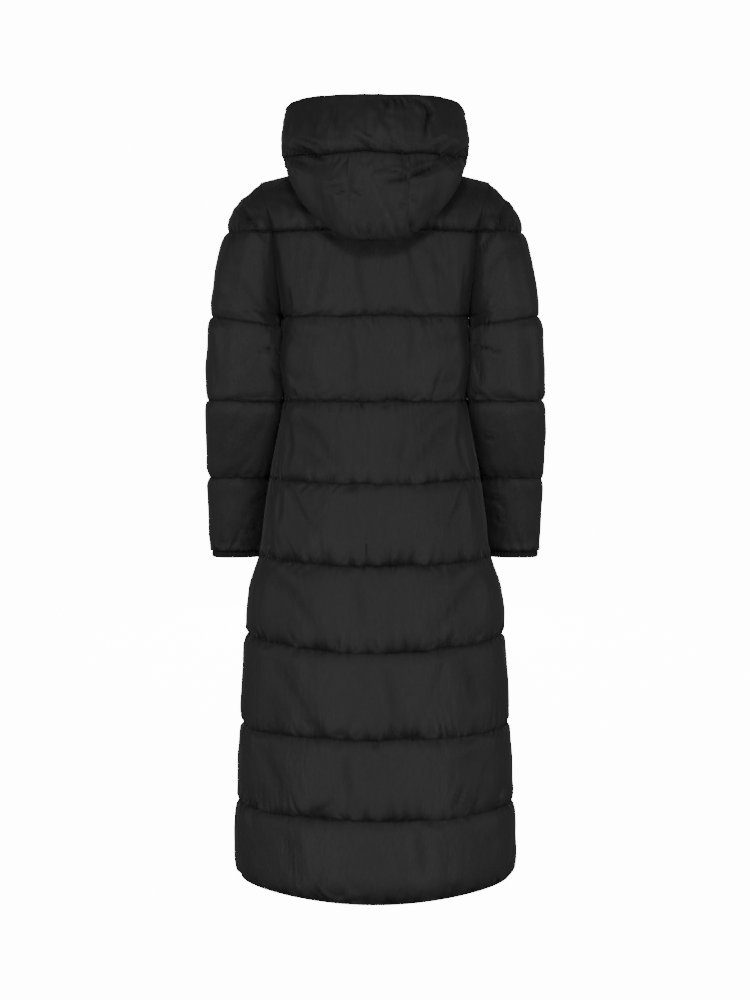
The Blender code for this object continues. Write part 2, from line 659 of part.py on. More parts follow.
def build_hood(collection, cloth):
    seams = {
        "hood_centre": spaced(HOOD_RIGHT_SEAM, HOOD_LEFT_SEAM, HOOD_CENTRE_COLUMNS),
        "hood_side_left": spaced(HOOD_LEFT_SEAM, HOOD_FRONT, HOOD_SIDE_COLUMNS),
        "hood_side_right": spaced(-HOOD_FRONT, HOOD_RIGHT_SEAM, HOOD_SIDE_COLUMNS),
    }
    whole = seams["hood_side_right"][:-1] + seams["hood_centre"] + seams["hood_side_left"][1:]
    points = hood_points(whole)
    band = band_points(whole)
    points_out = outward(points)
    band_out = outward(band)
    share_edge(points_out[-1], band_out[0])
    for column in [0, len(whole) - 1] + [whole.index(angles[0]) for angles in seams.values()]:
        flatten_seam(points_out, column, whole[column])
        flatten_seam(band_out, column, whole[column])
    rows = np.arange(len(points))
    padding = np.interp(rows / HOOD_ROW_PARTS, range(len(HOOD_PADDING)), HOOD_PADDING)
    band_rows = np.arange(len(band))
    band_padding = np.interp(band_rows / HOOD_ROW_PARTS, range(len(BAND_PADDING)), BAND_PADDING)
    swell = np.minimum(1, (len(points) - 1 - rows) / HOOD_ROW_PARTS)
    for name, angles in seams.items():
        start = whole.index(angles[0])
        columns = slice(start, start + len(angles))
        piece = points[:, columns] + seam_shift(name)
        thickness = quilted_hood(piece, padding, swell, name)
        wall(name, piece, points_out[:, columns], padding, thickness, collection, cloth)
    band_swell = np.minimum(1, band_rows)
    lifted = band + band_lift(points, band)
    thickness = HOOD_WALL + (band_padding - HOOD_WALL)[:, None] * band_swell[:, None]
    thickness = np.repeat(thickness, band.shape[1], axis=1)
    wall("hood_band", lifted, band_out, band_padding, thickness, collection, cloth)


def flatten_seam(normals, column, angle):
    """An upright seam of the hood lies in one plane, so that both its edges match."""
    turn = math.radians(angle)
    around = np.array((math.cos(turn), -math.sin(turn), 0))
    level = normals[:, column] - np.outer(normals[:, column] @ around, around)
    normals[:, column] = unit(level)


def band_lift(points, band):
    """The band is parted from the panels below it, along the way the cloth runs."""
    along = unit(band[1] - points[-2])
    return along * HOOD_GAP


def seam_shift(name):
    """The side panels of the hood are parted from its centre."""
    return {
        "hood_centre": np.zeros(3),
        "hood_side_left": np.array((HOOD_GAP, 0, 0)),
        "hood_side_right": np.array((-HOOD_GAP, 0, 0)),
    }[name]


def quilted_hood(piece, padding, swell, name):
    edges = {"hood_centre": "first last", "hood_side_left": "first", "hood_side_right": "last"}
    side = edge_swell(piece, edges[name])
    return HOOD_WALL + (padding - HOOD_WALL)[:, None] * swell[:, None] * side


def build_zip(front, front_out, depths, collection):
    """Tape and chain fill the space between the fronts; the slider and its pull are at the top."""
    nylon = material("zip", TRIM_COLOUR, ZIP_ROUGHNESS)
    metal = material("zip_metal", METAL_COLOUR, METAL_ROUGHNESS, 1.0)
    tape_side = ZIP_HALF_WIDTH - SEAM_GAP
    across = (-tape_side, -CHAIN_HALF_WIDTH, CHAIN_HALF_WIDTH, tape_side)
    edge_out = unit(front_out[:, -1] * np.array((0, 1, 1)))
    points = np.array([[(x, y, z) for x in across] for _, y, z in front[:, -1]])
    normals = np.repeat(edge_out[:, None, :], len(across), axis=1)
    row = (TAPE_WALL, CHAIN_WALL, CHAIN_WALL, TAPE_WALL)
    thickness = np.array([row] * len(front))
    wall("zip_chain", points, normals, depths, thickness, collection, nylon)
    index = YOKE_STEPS.index(SLIDER_STEP)
    _, y, z = front[index, -1]
    away = edge_out[index]
    seat = np.array((0, y, z)) - away * (depths[index] - CHAIN_WALL)
    build_slider(seat, away, collection, metal)


def box(cage, size, centre):
    made = bmesh.ops.create_cube(cage, size=1.0)["verts"]
    bmesh.ops.scale(cage, verts=made, vec=size)
    bmesh.ops.translate(cage, verts=made, vec=centre)


def rod(cage, radius, width, centre):
    """A round bar along X."""
    made = bmesh.ops.create_cone(cage, cap_ends=True, segments=ROUND_SIDES, radius1=radius,
                                 radius2=radius, depth=width)["verts"]
    bmesh.ops.rotate(cage, verts=made, cent=(0, 0, 0), matrix=Matrix.Rotation(math.pi / 2, 3, "Y"))
    bmesh.ops.translate(cage, verts=made, vec=centre)


def loose_object(name, shapes, collection):
    """An object of one or more overlapping shapes, each a function and its arguments."""
    cage = bmesh.new()
    for shape, *sizes in shapes:
        shape(cage, *sizes)
    mesh = bpy.data.meshes.new(name)
    cage.to_mesh(mesh)
    cage.free()
    made = bpy.data.objects.new(name, mesh)
    collection.objects.link(made)
    return made


def join_with(target, tool, operation):
    modifier = target.modifiers.new(tool.name, "BOOLEAN")
    modifier.operation = operation
    modifier.solver = "EXACT"
    modifier.object = tool
    tool.hide_render = True
    tool.display_type = "WIRE"


def build_slider(seat, away, collection, metal):
    """The slider lies on the chain; the pull hangs on a pin between its two lugs."""
    tools = bpy.data.collections[COAT + "_cutters"]
    turn = math.atan2(-away[2], -away[1])
    wide, thick, tall = SLIDER_SIZE
    face = -SEAM_GAP - thick
    pin_y = face - PIN_HEIGHT
    pin = (0, pin_y, 0)
    body = loose_object("zip_slider", [(box, SLIDER_SIZE, (0, face + thick / 2, 0))], collection)
    lug_y = face - LUG_SIZE[1] / 2 + METAL_OVERLAP
    lugs = [(box, LUG_SIZE, (side * LUG_SPREAD, lug_y, 0)) for side in (-1, 1)]
    lug_tool = loose_object("slider_lugs", lugs, tools)
    bar = [(rod, PIN_RADIUS, LUG_SPREAD * 2 + LUG_SIZE[0] / 2, pin)]
    pin_tool = loose_object("slider_pin", bar, tools)
    join_with(body, lug_tool, "UNION")
    join_with(body, pin_tool, "UNION")
    body.data.materials.append(metal)
    for piece in (body, lug_tool, pin_tool):
        piece.location = seat
        piece.rotation_euler = (turn, 0, 0)

    width, flat, length = PULL_SIZE
    eye = [(rod, EYE_RADIUS, width, (0, 0, 0))]
    pull = loose_object("zip_pull", eye, collection)
    blade = [(box, (width, flat, length), (0, 0, -EYE_BORE - PULL_START - length / 2))]
    blade_tool = loose_object("pull_blade", blade, tools)
    bore_tool = loose_object("pull_bore", [(rod, EYE_BORE, width * 2, (0, 0, 0))], tools)
    join_with(pull, blade_tool, "UNION")
    join_with(pull, bore_tool, "DIFFERENCE")
    pull.data.materials.append(metal)
    hinge = Vector(seat) + Matrix.Rotation(turn, 3, "X") @ Vector(pin)
    for piece in (pull, blade_tool, bore_tool):
        piece.location = hinge
        piece.rotation_euler = (turn, 0, 0)


def main():
    for old in list(bpy.data.objects):
        bpy.data.objects.remove(old, do_unlink=True)
    scene = bpy.context.scene
    coat = bpy.data.collections.new(COAT)
    cutters = bpy.data.collections.new(COAT + "_cutters")
    scene.collection.children.link(coat)
    scene.collection.children.link(cutters)
    cloth = material("padded_cloth", CLOTH_COLOUR, CLOTH_ROUGHNESS)
    build_body(coat, cloth)
    build_hood(coat, cloth)


main()
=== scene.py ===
import math

import bpy
import numpy as np
from mathutils import Matrix, Vector


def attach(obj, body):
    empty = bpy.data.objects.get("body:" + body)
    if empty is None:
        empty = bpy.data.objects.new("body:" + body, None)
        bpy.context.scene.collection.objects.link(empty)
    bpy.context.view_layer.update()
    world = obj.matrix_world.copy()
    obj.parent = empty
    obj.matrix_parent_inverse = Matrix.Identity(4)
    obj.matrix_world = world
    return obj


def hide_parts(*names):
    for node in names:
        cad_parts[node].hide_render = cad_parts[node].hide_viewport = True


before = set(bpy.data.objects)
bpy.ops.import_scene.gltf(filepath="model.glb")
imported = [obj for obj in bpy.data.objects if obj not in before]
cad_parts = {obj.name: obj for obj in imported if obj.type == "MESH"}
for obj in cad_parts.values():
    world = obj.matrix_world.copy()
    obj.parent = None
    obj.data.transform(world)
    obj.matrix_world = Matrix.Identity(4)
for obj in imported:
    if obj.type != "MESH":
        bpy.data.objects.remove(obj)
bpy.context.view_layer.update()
scene = bpy.context.scene
print("frame loaded:", len(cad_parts), "nodes")

# Shape of the coat, over the padding, in metres. The front faces -Y, the wearer's left is +X.
coat = {
    "seamGap": 0.0003,
    "armholeGap": 0.0003,
    "seamWall": 0.0122,     # the wall where it is sewn to the next piece
    "lineWall": (0.0046, 0.0150),    # the wall along a quilt line, at the centre and at the side
    "sleeveLineWall": (0.0070, 0.0150),     # the same round a sleeve, outside and beside the body
    "lowLineExtra": 0.001,  # the lines below the yoke and at the front are this much thicker
    "openFrom": 4,          # the place below which no sleeve lies beside the body
    "sideWall": 0.0148,     # the wall where the body and a sleeve lie side by side
    "besideExtra": 0.0028,  # added there to the wall at the seams
    "beside": (0.84, 0.12),         # share of the half width where that starts, and its fade
    "underarm": ((0.6, 0.3), (3.5, 0.5)),   # places where it starts and stops, each with its fade
    "leastWall": 0.003,     # the thinnest wall
    "padding": 0.015,       # room between the lining and the outside
    "channelEnds": ((0.16, 0.6), (0.15, 0.65)),     # share of a channel where it closes, and how round
    "over": 0.0012,         # how far the filled cloth may stand out past that room
    "overMiddle": (0.0004, 0.0030, 1.6),    # the same at the sides, its rise to the middle, its reach
    "edgeRamp": 0.012,      # how far from a seam the padding is full
    "leanRamp": 0.035,      # how far a shared edge turns the wall of its pieces
    "channelRows": 28,
    "shoulderRows": 26,
    "backColumns": 200,
    "frontColumns": 90,
    "sleeveColumns": 120,
    "crowding": 0.5,        # how far the rows crowd towards the quilt lines
    "lines": [              # quilt lines: height at the side, height at the centre
        (-0.1150, -0.1085), (-0.2520, -0.2520), (-0.3950, -0.3950), (-0.5270, -0.5300),
        (-0.6600, -0.6680), (-0.7970, -0.8120), (-0.9520, -0.9570), (-1.0870, -1.0910),
        (-1.2220, -1.2380),
    ],
    "lineBow": 3,           # above 1, the drop of a line gathers towards the centre
    "body": [               # height, half width, back depth, front depth, squareness
        (-0.108, 0.202, 0.126, 0.134, 3.2), (-0.18, 0.178, 0.131, 0.143, 3.4),
        (-0.252, 0.16, 0.132, 0.143, 3.4), (-0.32, 0.165, 0.13, 0.138, 3.3),
        (-0.395, 0.158, 0.126, 0.13, 3.1), (-0.46, 0.168, 0.135, 0.134, 2.8),
        (-0.527, 0.181, 0.147, 0.138, 2.55), (-0.59, 0.19, 0.154, 0.142, 2.4),
        (-0.66, 0.2, 0.16, 0.146, 2.3), (-0.72, 0.22, 0.167, 0.152, 2.2),
        (-0.797, 0.2275, 0.171, 0.156, 2.15), (-0.952, 0.2365, 0.177, 0.16, 2.1),
        (-1.087, 0.2435, 0.182, 0.164, 2.1), (-1.168, 0.2475, 0.186, 0.166, 2.1),
        (-1.205, 0.246, 0.186, 0.165, 2.1), (-1.238, 0.236, 0.178, 0.157, 2.1),
    ],
    "armhole": [            # height, distance from the middle
        (-0.252, 0.1600), (-0.2315, 0.1605), (-0.205, 0.1635), (-0.180, 0.1660), (-0.108, 0.1710),
    ],
    "shoulderTip": (0.195, 0.0, -0.0245),
    "shoulderLift": (0.30, 0.0, 0.954),
    "shoulderRound": ((0.0, 0.62, 0.10), (0.45, 0.0, 0.55)),    # pull of its curve at top and bottom
    "shoulderDepth": [      # share of the way down to the yoke line, room for the padding
        (0.0, 0.005), (0.2, 0.006), (0.45, 0.010), (0.7, 0.014), (0.88, 0.015), (1.0, 0.015),
    ],
    "neck": {"halfWidth": 0.085, "back": 0.075, "front": 0.088,
             "backHeight": -0.004, "sideHeight": 0.003, "frontHeight": -0.052},
    "neckShare": 0.5,       # share of a top edge that is neckline
    "zipHalfWidth": 0.012,
}

sleeve = {
    "clearance": 0.0006,
    "over": (0.0004, 0.0014),       # how far the filled cloth may stand out, and its rise outwards
    "shade": (0.0045, 0.0050),      # how far beside a line shade is painted into the cloth, high up and low down
    "wristRows": 10,        # rows over which the wall turns level at the wrist
    "closingRows": 6,       # rows over which the sewn edges become one tube
    "head": [               # height on the armhole, outer height, outer x, half depth
        (-0.0245, -0.0245, 0.195, 0.0), (-0.034, -0.036, 0.212, 0.03),
        (-0.052, -0.059, 0.2345, 0.058), (-0.078, -0.083, 0.248, 0.085),
        (-0.1, -0.099, 0.2535, 0.099), (-0.115, -0.109, 0.2575, 0.103),
        (-0.136, -0.127, 0.263, 0.105), (-0.1835, -0.172, 0.273, 0.104),
        (-0.2315, -0.217, 0.2795, 0.1), (-0.252, -0.235, 0.282, 0.097),
    ],
    "square": (2.0, 2.5),   # squareness at the shoulder tip and below the armhole
    "arm": [                # outer height, inner height, outer x, inner x, middle y, half depth, room
        (-0.252, -0.272, 0.286, 0.14, 0.0, 0.096, 0.015),
        (-0.272, -0.29, 0.2875, 0.14, 0.0, 0.095, 0.015),
        (-0.324, -0.335, 0.29, 0.14, -0.004, 0.092, 0.015),
        (-0.376, -0.38, 0.2935, 0.14, -0.011, 0.089, 0.015),
        (-0.396, -0.398, 0.295, 0.14, -0.015, 0.088, 0.015),
        (-0.416, -0.418, 0.295, 0.142, -0.02, 0.087, 0.015),
        (-0.465, -0.465, 0.295, 0.15, -0.036, 0.083, 0.015),
        (-0.512, -0.512, 0.295, 0.16, -0.053, 0.078, 0.015),
        (-0.532, -0.531, 0.2955, 0.164, -0.06, 0.075, 0.015),
        (-0.552, -0.551, 0.2945, 0.168, -0.066, 0.072, 0.015),
        (-0.6, -0.598, 0.2925, 0.175, -0.076, 0.066, 0.015),
        (-0.642, -0.64, 0.2915, 0.182, -0.08, 0.057, 0.012),
        (-0.66, -0.659, 0.2895, 0.191, -0.08, 0.051, 0.006),
    ],
    "armLines": (0, 4, 8, 12),      # rows of that table that are quilt lines or the wrist
    "armRows": (30, 28, 27),        # grid rows between them
    "underarmRows": 4,
    "cuffDepth": 0.011,
    "cuffWall": 0.003,
}


def bend(first, rise, start, end, share):       # a curve between two values with a slope at either end
    return (first + start * share + (3 * rise - 2 * start - end) * share ** 2
            + (start + end - 2 * rise) * share ** 3)


def curveThrough(rows, column, at):     # a table read along a smooth curve, at many places at once
    ordered = np.array(sorted(rows))
    places, values = ordered[:, 0], ordered[:, column]
    slopes = np.gradient(values, places)
    slopes[1:-1] = (values[2:] - values[:-2]) / (places[2:] - places[:-2])
    at = np.clip(at, places[0], places[-1])
    index = np.clip(np.searchsorted(places, at, side="right") - 1, 0, len(places) - 2)
    width = places[index + 1] - places[index]
    share = (at - places[index]) / width
    return bend(values[index], values[index + 1] - values[index], slopes[index] * width,
                slopes[index + 1] * width, share)


def toUnit(vectors):
    return vectors / np.maximum(np.linalg.norm(vectors, axis=-1, keepdims=True), 1e-9)


def smoothStep(values):
    values = np.clip(values, 0, 1)
    return values * values * (3 - 2 * values)


def lengthsDown(points):                # how far each point of a grid lies below the top of its column
    steps = np.linalg.norm(np.diff(points, axis=0), axis=2)
    return np.concatenate([np.zeros((1, steps.shape[1])), np.cumsum(steps, axis=0)])


def lengthsAcross(points):              # the same along its rows
    steps = np.linalg.norm(np.diff(points, axis=1), axis=2)
    return np.concatenate([np.zeros((len(steps), 1)), np.cumsum(steps, axis=1)], axis=1)


def rowDepths(points):                  # the mean of the lengths down, one for each row
    steps = np.linalg.norm(np.diff(points, axis=0), axis=2).mean(axis=1)
    return np.concatenate([[0], np.cumsum(steps)])


def columnPlaces(points):               # the mean of the lengths across, one for each column
    steps = np.linalg.norm(np.diff(points, axis=1), axis=2).mean(axis=0)
    return np.concatenate([[0], np.cumsum(steps)])


def lineLengths(line):                  # how far each point of a line is from its start
    return np.concatenate([[0], np.cumsum(np.linalg.norm(np.diff(line, axis=0), axis=1))])


def pointsAt(places, marks, line):      # points of a line at places that are counted by its marks
    return np.stack([np.interp(places, marks, line[:, axis]) for axis in range(3)], axis=-1)


def corner(angle, square):              # how far a squarer section reaches beyond an ellipse
    return (np.abs(np.sin(angle)) ** square + np.abs(np.cos(angle)) ** square) ** (-1 / square)


def cornerAngle(share, square):         # where such a section is a given share of its half width wide
    share = np.clip(share, 0, 0.9999999) ** square
    return np.arctan((share / (1 - share)) ** (1 / square))


def bodyPoint(angle, height):           # angle 0 is the centre back, a quarter turn the left side
    depth = np.where(np.cos(angle) > 0, curveThrough(coat["body"], 2, height),
                     curveThrough(coat["body"], 3, height))
    reach = corner(angle, curveThrough(coat["body"], 4, height))
    width = curveThrough(coat["body"], 1, height) * reach
    return np.stack((width * np.sin(angle), depth * reach * np.cos(angle), height + 0 * angle),
                    axis=-1)


def edgeAngle(height):                  # where a panel ends: the armhole, or the side seam below it
    share = curveThrough(coat["armhole"], 1, height) / curveThrough(coat["body"], 1, height)
    square = curveThrough(coat["body"], 4, height)
    sewn = (height > coat["lines"][1][0]) & (share < 1)
    return np.where(sewn, cornerAngle(share, square), math.pi / 2)


def channelPoints(place, angles):       # place counts quilt lines from the yoke line, in fractions
    sides, centres = np.array(coat["lines"]).T
    marks = np.arange(len(sides))
    side = np.interp(place, marks, sides)[:, None]
    centre = np.interp(place, marks, centres)[:, None]
    return bodyPoint(angles, side + (centre - side) * np.abs(np.cos(angles)) ** coat["lineBow"])


def neckPoint(angle):                   # angle in radians round the neck from the centre back
    neck = coat["neck"]
    back = np.cos(angle) > 0
    depth = np.where(back, neck["back"], neck["front"])
    end = np.where(back, neck["backHeight"], neck["frontHeight"])
    height = neck["sideHeight"] + (end - neck["sideHeight"]) * np.cos(angle) ** 2
    return np.stack((neck["halfWidth"] * np.sin(angle), depth * np.cos(angle), height), axis=-1)


def topEdge(share, centreAngle):        # the shoulder from its tip, then the neckline to its middle
    split = 1 - coat["neckShare"]
    reach = np.clip(share / split, 0, 1)[:, None]
    shoulder = np.array(coat["shoulderTip"]) * (1 - reach) + neckPoint(np.array(math.pi / 2)) * reach
    turn = np.clip((share - split) / coat["neckShare"], 0, 1)
    neckline = neckPoint(math.pi / 2 + (centreAngle - math.pi / 2) * turn)
    return np.where(share[:, None] < split, shoulder, neckline)


def shoulderPoints(steps, tops, bottoms):       # over the round of the shoulder to the yoke line
    steps = steps[:, None, None]
    rest = 1 - steps
    outwards, upwards = (np.array(pull) for pull in coat["shoulderRound"])
    nearTop = tops + (bottoms - tops) * outwards
    nearBottom = bottoms + (tops - bottoms) * upwards
    return (tops * rest ** 3 + nearTop * 3 * rest ** 2 * steps
            + nearBottom * 3 * rest * steps ** 2 + bottoms * steps ** 3)


def frontAngles(edge, height, columns):
    share = coat["zipHalfWidth"] / curveThrough(coat["body"], 1, height)
    centre = math.pi - cornerAngle(share, curveThrough(coat["body"], 4, height))
    first = (math.pi - edge)[:, None]
    return first + (centre[:, None] - first) * np.arange(columns + 1) / columns


def crowdedSteps(rows):                 # shares of a channel, closer together beside its lines
    even = np.arange(rows) / rows
    return even - coat["crowding"] * np.sin(2 * math.pi * even) / (2 * math.pi)


shoulderSteps = np.arange(coat["shoulderRows"] + 1) / coat["shoulderRows"]
channelCount = len(coat["lines"]) - 1
places = np.append(np.concatenate([channel + crowdedSteps(coat["channelRows"])
                                   for channel in range(channelCount)]), channelCount)
edgeHeights = np.interp(places, np.arange(channelCount + 1), np.array(coat["lines"])[:, 0])
edges = edgeAngle(edgeHeights)
frontPlaces = np.arange(coat["frontColumns"] + 1) / coat["frontColumns"]
toOtherSide = np.array((-1, 1, 1))
backShares = 2 * np.arange(coat["backColumns"] + 1) / coat["backColumns"] - 1


def yokeGrid():
    bottoms = channelPoints(places[:1], edges[:1, None] * backShares[None, :])[0]
    tops = topEdge(1 - np.abs(backShares), 0.0)
    tops[:, 0] = np.copysign(tops[:, 0], backShares)
    return shoulderPoints(shoulderSteps, tops, bottoms)


def backGrid():
    return channelPoints(places, edges[:, None] * backShares[None, :])


def frontGrid():                        # left front: from the armhole and side to the zip
    columns = coat["frontColumns"]
    angles = frontAngles(edges, edgeHeights, columns)
    below = channelPoints(places, angles)
    turn = math.pi - math.asin(coat["zipHalfWidth"] / coat["neck"]["halfWidth"])
    tops = topEdge(np.arange(columns + 1) / columns, turn)
    return np.concatenate([shoulderPoints(shoulderSteps, tops, below[0]), below[1:]])


def clearOfBody(points):                # the side of the body presses a sleeve outwards
    column = np.where(points[..., 1] > 0, curveThrough(coat["body"], 2, points[..., 2]),
                      curveThrough(coat["body"], 3, points[..., 2]))
    square = curveThrough(coat["body"], 4, points[..., 2])
    reach = np.maximum(1 - np.abs(points[..., 1] / column) ** square, 0) ** (1 / square)
    limit = curveThrough(coat["body"], 1, points[..., 2]) * reach + sleeve["clearance"]
    pressed = points.copy()
    pressed[..., 0] = np.maximum(points[..., 0], limit)
    return pressed


def sleeveGrid(armhole):                # open rows round the armhole, then closed rings
    columns = np.arange(coat["sleeveColumns"] + 1) / coat["sleeveColumns"]
    innerX, edgeY, innerZ = (armhole[:, axis][:, None] for axis in range(3))
    outerZ, outerX, depth = (curveThrough(sleeve["head"], column, innerZ) for column in (1, 2, 3))
    depth = np.maximum(np.maximum(depth, edgeY), 1e-6)
    tip, low = sleeve["square"]
    fall = (coat["shoulderTip"][2] - innerZ) / (coat["shoulderTip"][2] - coat["lines"][1][0])
    square = tip + (low - tip) * fall
    end = math.pi - cornerAngle(edgeY / depth, square)
    back = corner(end, square) * np.cos(end)
    turn = end * (1 - 2 * columns)
    width = (outerX - innerX) / (1 - back)
    reach = corner(turn, square)
    side = reach * np.cos(turn)
    head = np.stack((outerX - width + width * side, depth * reach * np.sin(turn),
                     innerZ + (outerZ - innerZ) * (side - back) / (1 - back)), axis=-1)
    head[0] = coat["shoulderTip"]
    lineHeights = [sleeve["arm"][row][0] for row in sleeve["armLines"]]
    lineRows = np.concatenate([[0], np.cumsum(sleeve["armRows"])])
    armPlaces = np.append(np.concatenate([channel + crowdedSteps(count) for channel, count
                                          in enumerate(sleeve["armRows"])]), len(lineRows) - 1)
    down = -np.interp(armPlaces, range(len(lineRows)), lineHeights)
    table = [(-row[0], *row) for row in sleeve["arm"]]
    outerZ, innerZ, outerX, innerX, middleY, depth, room = (
        curveThrough(table, column, down)[:, None] for column in range(1, 8))
    turn = math.pi * (1 - 2 * columns)
    reach = corner(turn, low)
    side = (reach * np.cos(turn) + 1) / 2
    arm = np.stack((innerX + (outerX - innerX) * side, middleY + depth * reach * np.sin(turn),
                    innerZ + (outerZ - innerZ) * side), axis=-1)
    arm = clearOfBody(arm)
    share = (np.arange(1, sleeve["underarmRows"]) / sleeve["underarmRows"])[:, None, None]
    bridge = head[-1] * (1 - share) + arm[0] * share
    return np.concatenate([head, bridge, arm]), armPlaces, room[:, 0]


def outward(points, sign=1):            # unit normals of a grid
    normal = np.cross(np.gradient(points, axis=0), np.gradient(points, axis=1)) * sign
    return toUnit(normal)


def shareEdge(points, normals, rows, column, shared):    # turn a grid's edge to the shared normals
    wall = normals[rows]
    away = lengthsAcross(points[rows])
    if column == -1:
        away = away[:, -1:] - away
    weight = 1 - smoothStep(away / coat["leanRamp"])[:, :, None]
    turned = shared[:, None, :] - wall[:, column][:, None, :]
    normals[rows] = toUnit(wall + turned * weight)


def leanRows(grid, normals, target):    # the first row of a grid leans like its seam, the next ones less
    weight = (1 - smoothStep(rowDepths(grid) / coat["leanRamp"]))[:, None, None]
    normals[:] = toUnit(normals + (target - normals[0])[None] * weight)


def sew(*edges):                        # pieces that are sewn together lean the same way at the seam
    shared = toUnit(sum(normals[rows, column] for points, normals, rows, column in edges))
    for points, normals, rows, column in edges:
        shareEdge(points, normals, rows, column, shared)


def sideSwell(points, ends, ramp):      # 0 on the sewn side edges, 1 inside
    fromFirst = lengthsAcross(points)
    fromLast = fromFirst[:, -1:] - fromFirst
    swell = np.ones(points.shape[:2])
    if "first" in ends:
        swell = np.minimum(swell, fromFirst / ramp)
    if "last" in ends:
        swell = np.minimum(swell, fromLast / ramp)
    return np.sin(np.clip(swell, 0, 1) * math.pi / 2)


def channelSwell(place):                # share of the padding across a channel, steeper at its top
    step = place - np.floor(place + 1e-9)
    (upperShare, upperPower), (lowerShare, lowerPower) = coat["channelEnds"]
    upper = np.sin(np.clip(step / upperShare, 0, 1) * math.pi / 2) ** upperPower
    lower = np.sin(np.clip((1 - step) / lowerShare, 0, 1) * math.pi / 2) ** lowerPower
    return upper * lower * (step > 1e-6)


def gridFaces(panel):                   # quads of a panel's grid, turned outwards
    rows, columns = panel["points"].shape[:2]
    index = np.arange(rows * columns).reshape(rows, columns)
    quads = np.stack((index[:-1, :-1], index[1:, :-1], index[1:, 1:], index[:-1, 1:]), axis=-1)
    quads = quads.reshape(-1, 4)
    return quads[:, ::-1] if panel["sign"] < 0 else quads


def cornersOf(quad):                    # corners of a quad that are not welded to the one before
    return [step for step in range(4) if quad[step] != quad[step - 1]]


def renumbered(used, count):            # new numbers for the points that are left after welding
    numbers = np.full(count, -1)
    numbers[used] = np.arange(len(used))
    return numbers


def rimEdges(quads, welded):            # edges with a face on one side only, with their grid points
    forward = np.stack((welded, np.roll(welded, -1, axis=1)), axis=-1).reshape(-1, 2)
    slots = np.stack((quads, np.roll(quads, -1, axis=1)), axis=-1).reshape(-1, 2)
    real = forward[:, 0] != forward[:, 1]
    known = set(map(tuple, forward[real].tolist()))
    return [(slot, edge) for slot, edge in zip(slots[real].tolist(), forward[real].tolist())
            if (edge[1], edge[0]) not in known]


def newObject(name, points, faces):     # faces are tuples of 3 or 4 indexes
    mesh = bpy.data.meshes.new(name)
    sizes = np.array([len(face) for face in faces])
    loops = np.concatenate(faces)
    mesh.vertices.add(len(points))
    mesh.vertices.foreach_set("co", np.asarray(points, dtype=np.float32).ravel())
    mesh.loops.add(len(loops))
    mesh.loops.foreach_set("vertex_index", loops.astype(np.int32))
    mesh.polygons.add(len(sizes))
    mesh.polygons.foreach_set("loop_start", (np.cumsum(sizes) - sizes).astype(np.int32))
    mesh.update(calc_edges=True)
    made = bpy.data.objects.new(name, mesh)
    scene.collection.objects.link(made)
    return made


def gridMesh(name, panel, outside, gatherAndPaintedShade=None):    # a closed wall: outside, lining and their rim
    count = len(panel["weld"])
    quads = gridFaces(panel)
    welded = panel["weld"][quads]
    faces, corners = [], []
    for quad, marks in zip(welded.tolist(), quads.tolist()):
        kept = cornersOf(quad)
        faces.append([quad[step] for step in kept])
        corners.append([marks[step] for step in kept])
    inner = [[index + count for index in face[::-1]] for face in faces]
    innerCorners = [marks[::-1] for marks in corners]
    for (slotFrom, slotTo), (start, stop) in rimEdges(quads, welded):
        inner.append([stop, start, start + count, stop + count])
        innerCorners.append([slotTo, slotFrom, slotFrom, slotTo])
    points = np.concatenate([outside.reshape(-1, 3), panel["lining"].reshape(-1, 3)])
    used = np.unique(np.concatenate([panel["weld"], panel["weld"] + count]))
    numbers = renumbered(used, 2 * count).tolist()
    made = newObject(name, points[used], [[numbers[index] for index in face]
                                          for face in faces + inner])
    mesh = made.data
    acrossWay = lengthsAcross(panel["points"])
    acrossWay -= acrossWay[:, -1:] / 2
    downWay = rowDepths(panel["points"])[:, None] + 0 * acrossWay
    layout = np.stack((acrossWay, -downWay), axis=-1).reshape(-1, 2)
    flat = layout[np.concatenate(corners + innerCorners)]
    mesh.uv_layers.new(name="UVMap").data.foreach_set("uv", flat.astype(np.float32).ravel())
    # the mask of painted shade, on the outside and the lining, for the cloth's material
    if gatherAndPaintedShade is not None:
        both = np.concatenate([gatherAndPaintedShade.ravel(), gatherAndPaintedShade.ravel()])[used]
        layer = mesh.attributes.new("gatherAndPaintedShade", "FLOAT", "POINT")
        layer.data.foreach_set("value", both.astype(np.float32))
    mesh.shade_smooth()
    mesh.set_sharp_from_angle(angle=math.radians(60))
    return made


def shell(panel, thickness):            # outside points for a thickness of padding
    return panel["lining"] + panel["normals"] * thickness[:, :, None]


def mirrorPanel(panel):
    flipped = dict(panel)
    for part in ("points", "normals", "lining"):
        flipped[part] = panel[part] * toOtherSide
    flipped["sign"] = -panel["sign"]
    return flipped


# what each step knows of a panel: its grid, its lining, and the room for the padding between them
def makePanel(points, normals, room, place, ends, sign, line, weld=None):
    rows, columns = points.shape[:2]
    room = np.broadcast_to(np.asarray(room, dtype=float).reshape(rows, 1), (rows, columns))
    side = sideSwell(points, ends, coat["edgeRamp"])
    return {
        "points": points, "normals": normals, "room": room, "place": place, "side": side,
        "sign": sign, "line": line, "quilted": True, "over": coat["over"],
        "weld": np.arange(rows * columns) if weld is None else weld,
        "lining": points - normals * room[:, :, None],
    }


def panelSwell(panel):                  # 0 along its quilt lines or seams, 1 between them
    return panel["swell"] if "swell" in panel else channelSwell(panel["place"])[:, None]


def plainThickness(panel):              # the padding before the cloth is simulated
    filled = panel["line"] + (coat["padding"] - panel["line"]) * panelSwell(panel)
    filled = np.minimum(filled, panel["room"])
    sewn = np.minimum(panel.get("seamWall", coat["seamWall"]), filled)
    return sewn + (filled - sewn) * panel["side"]


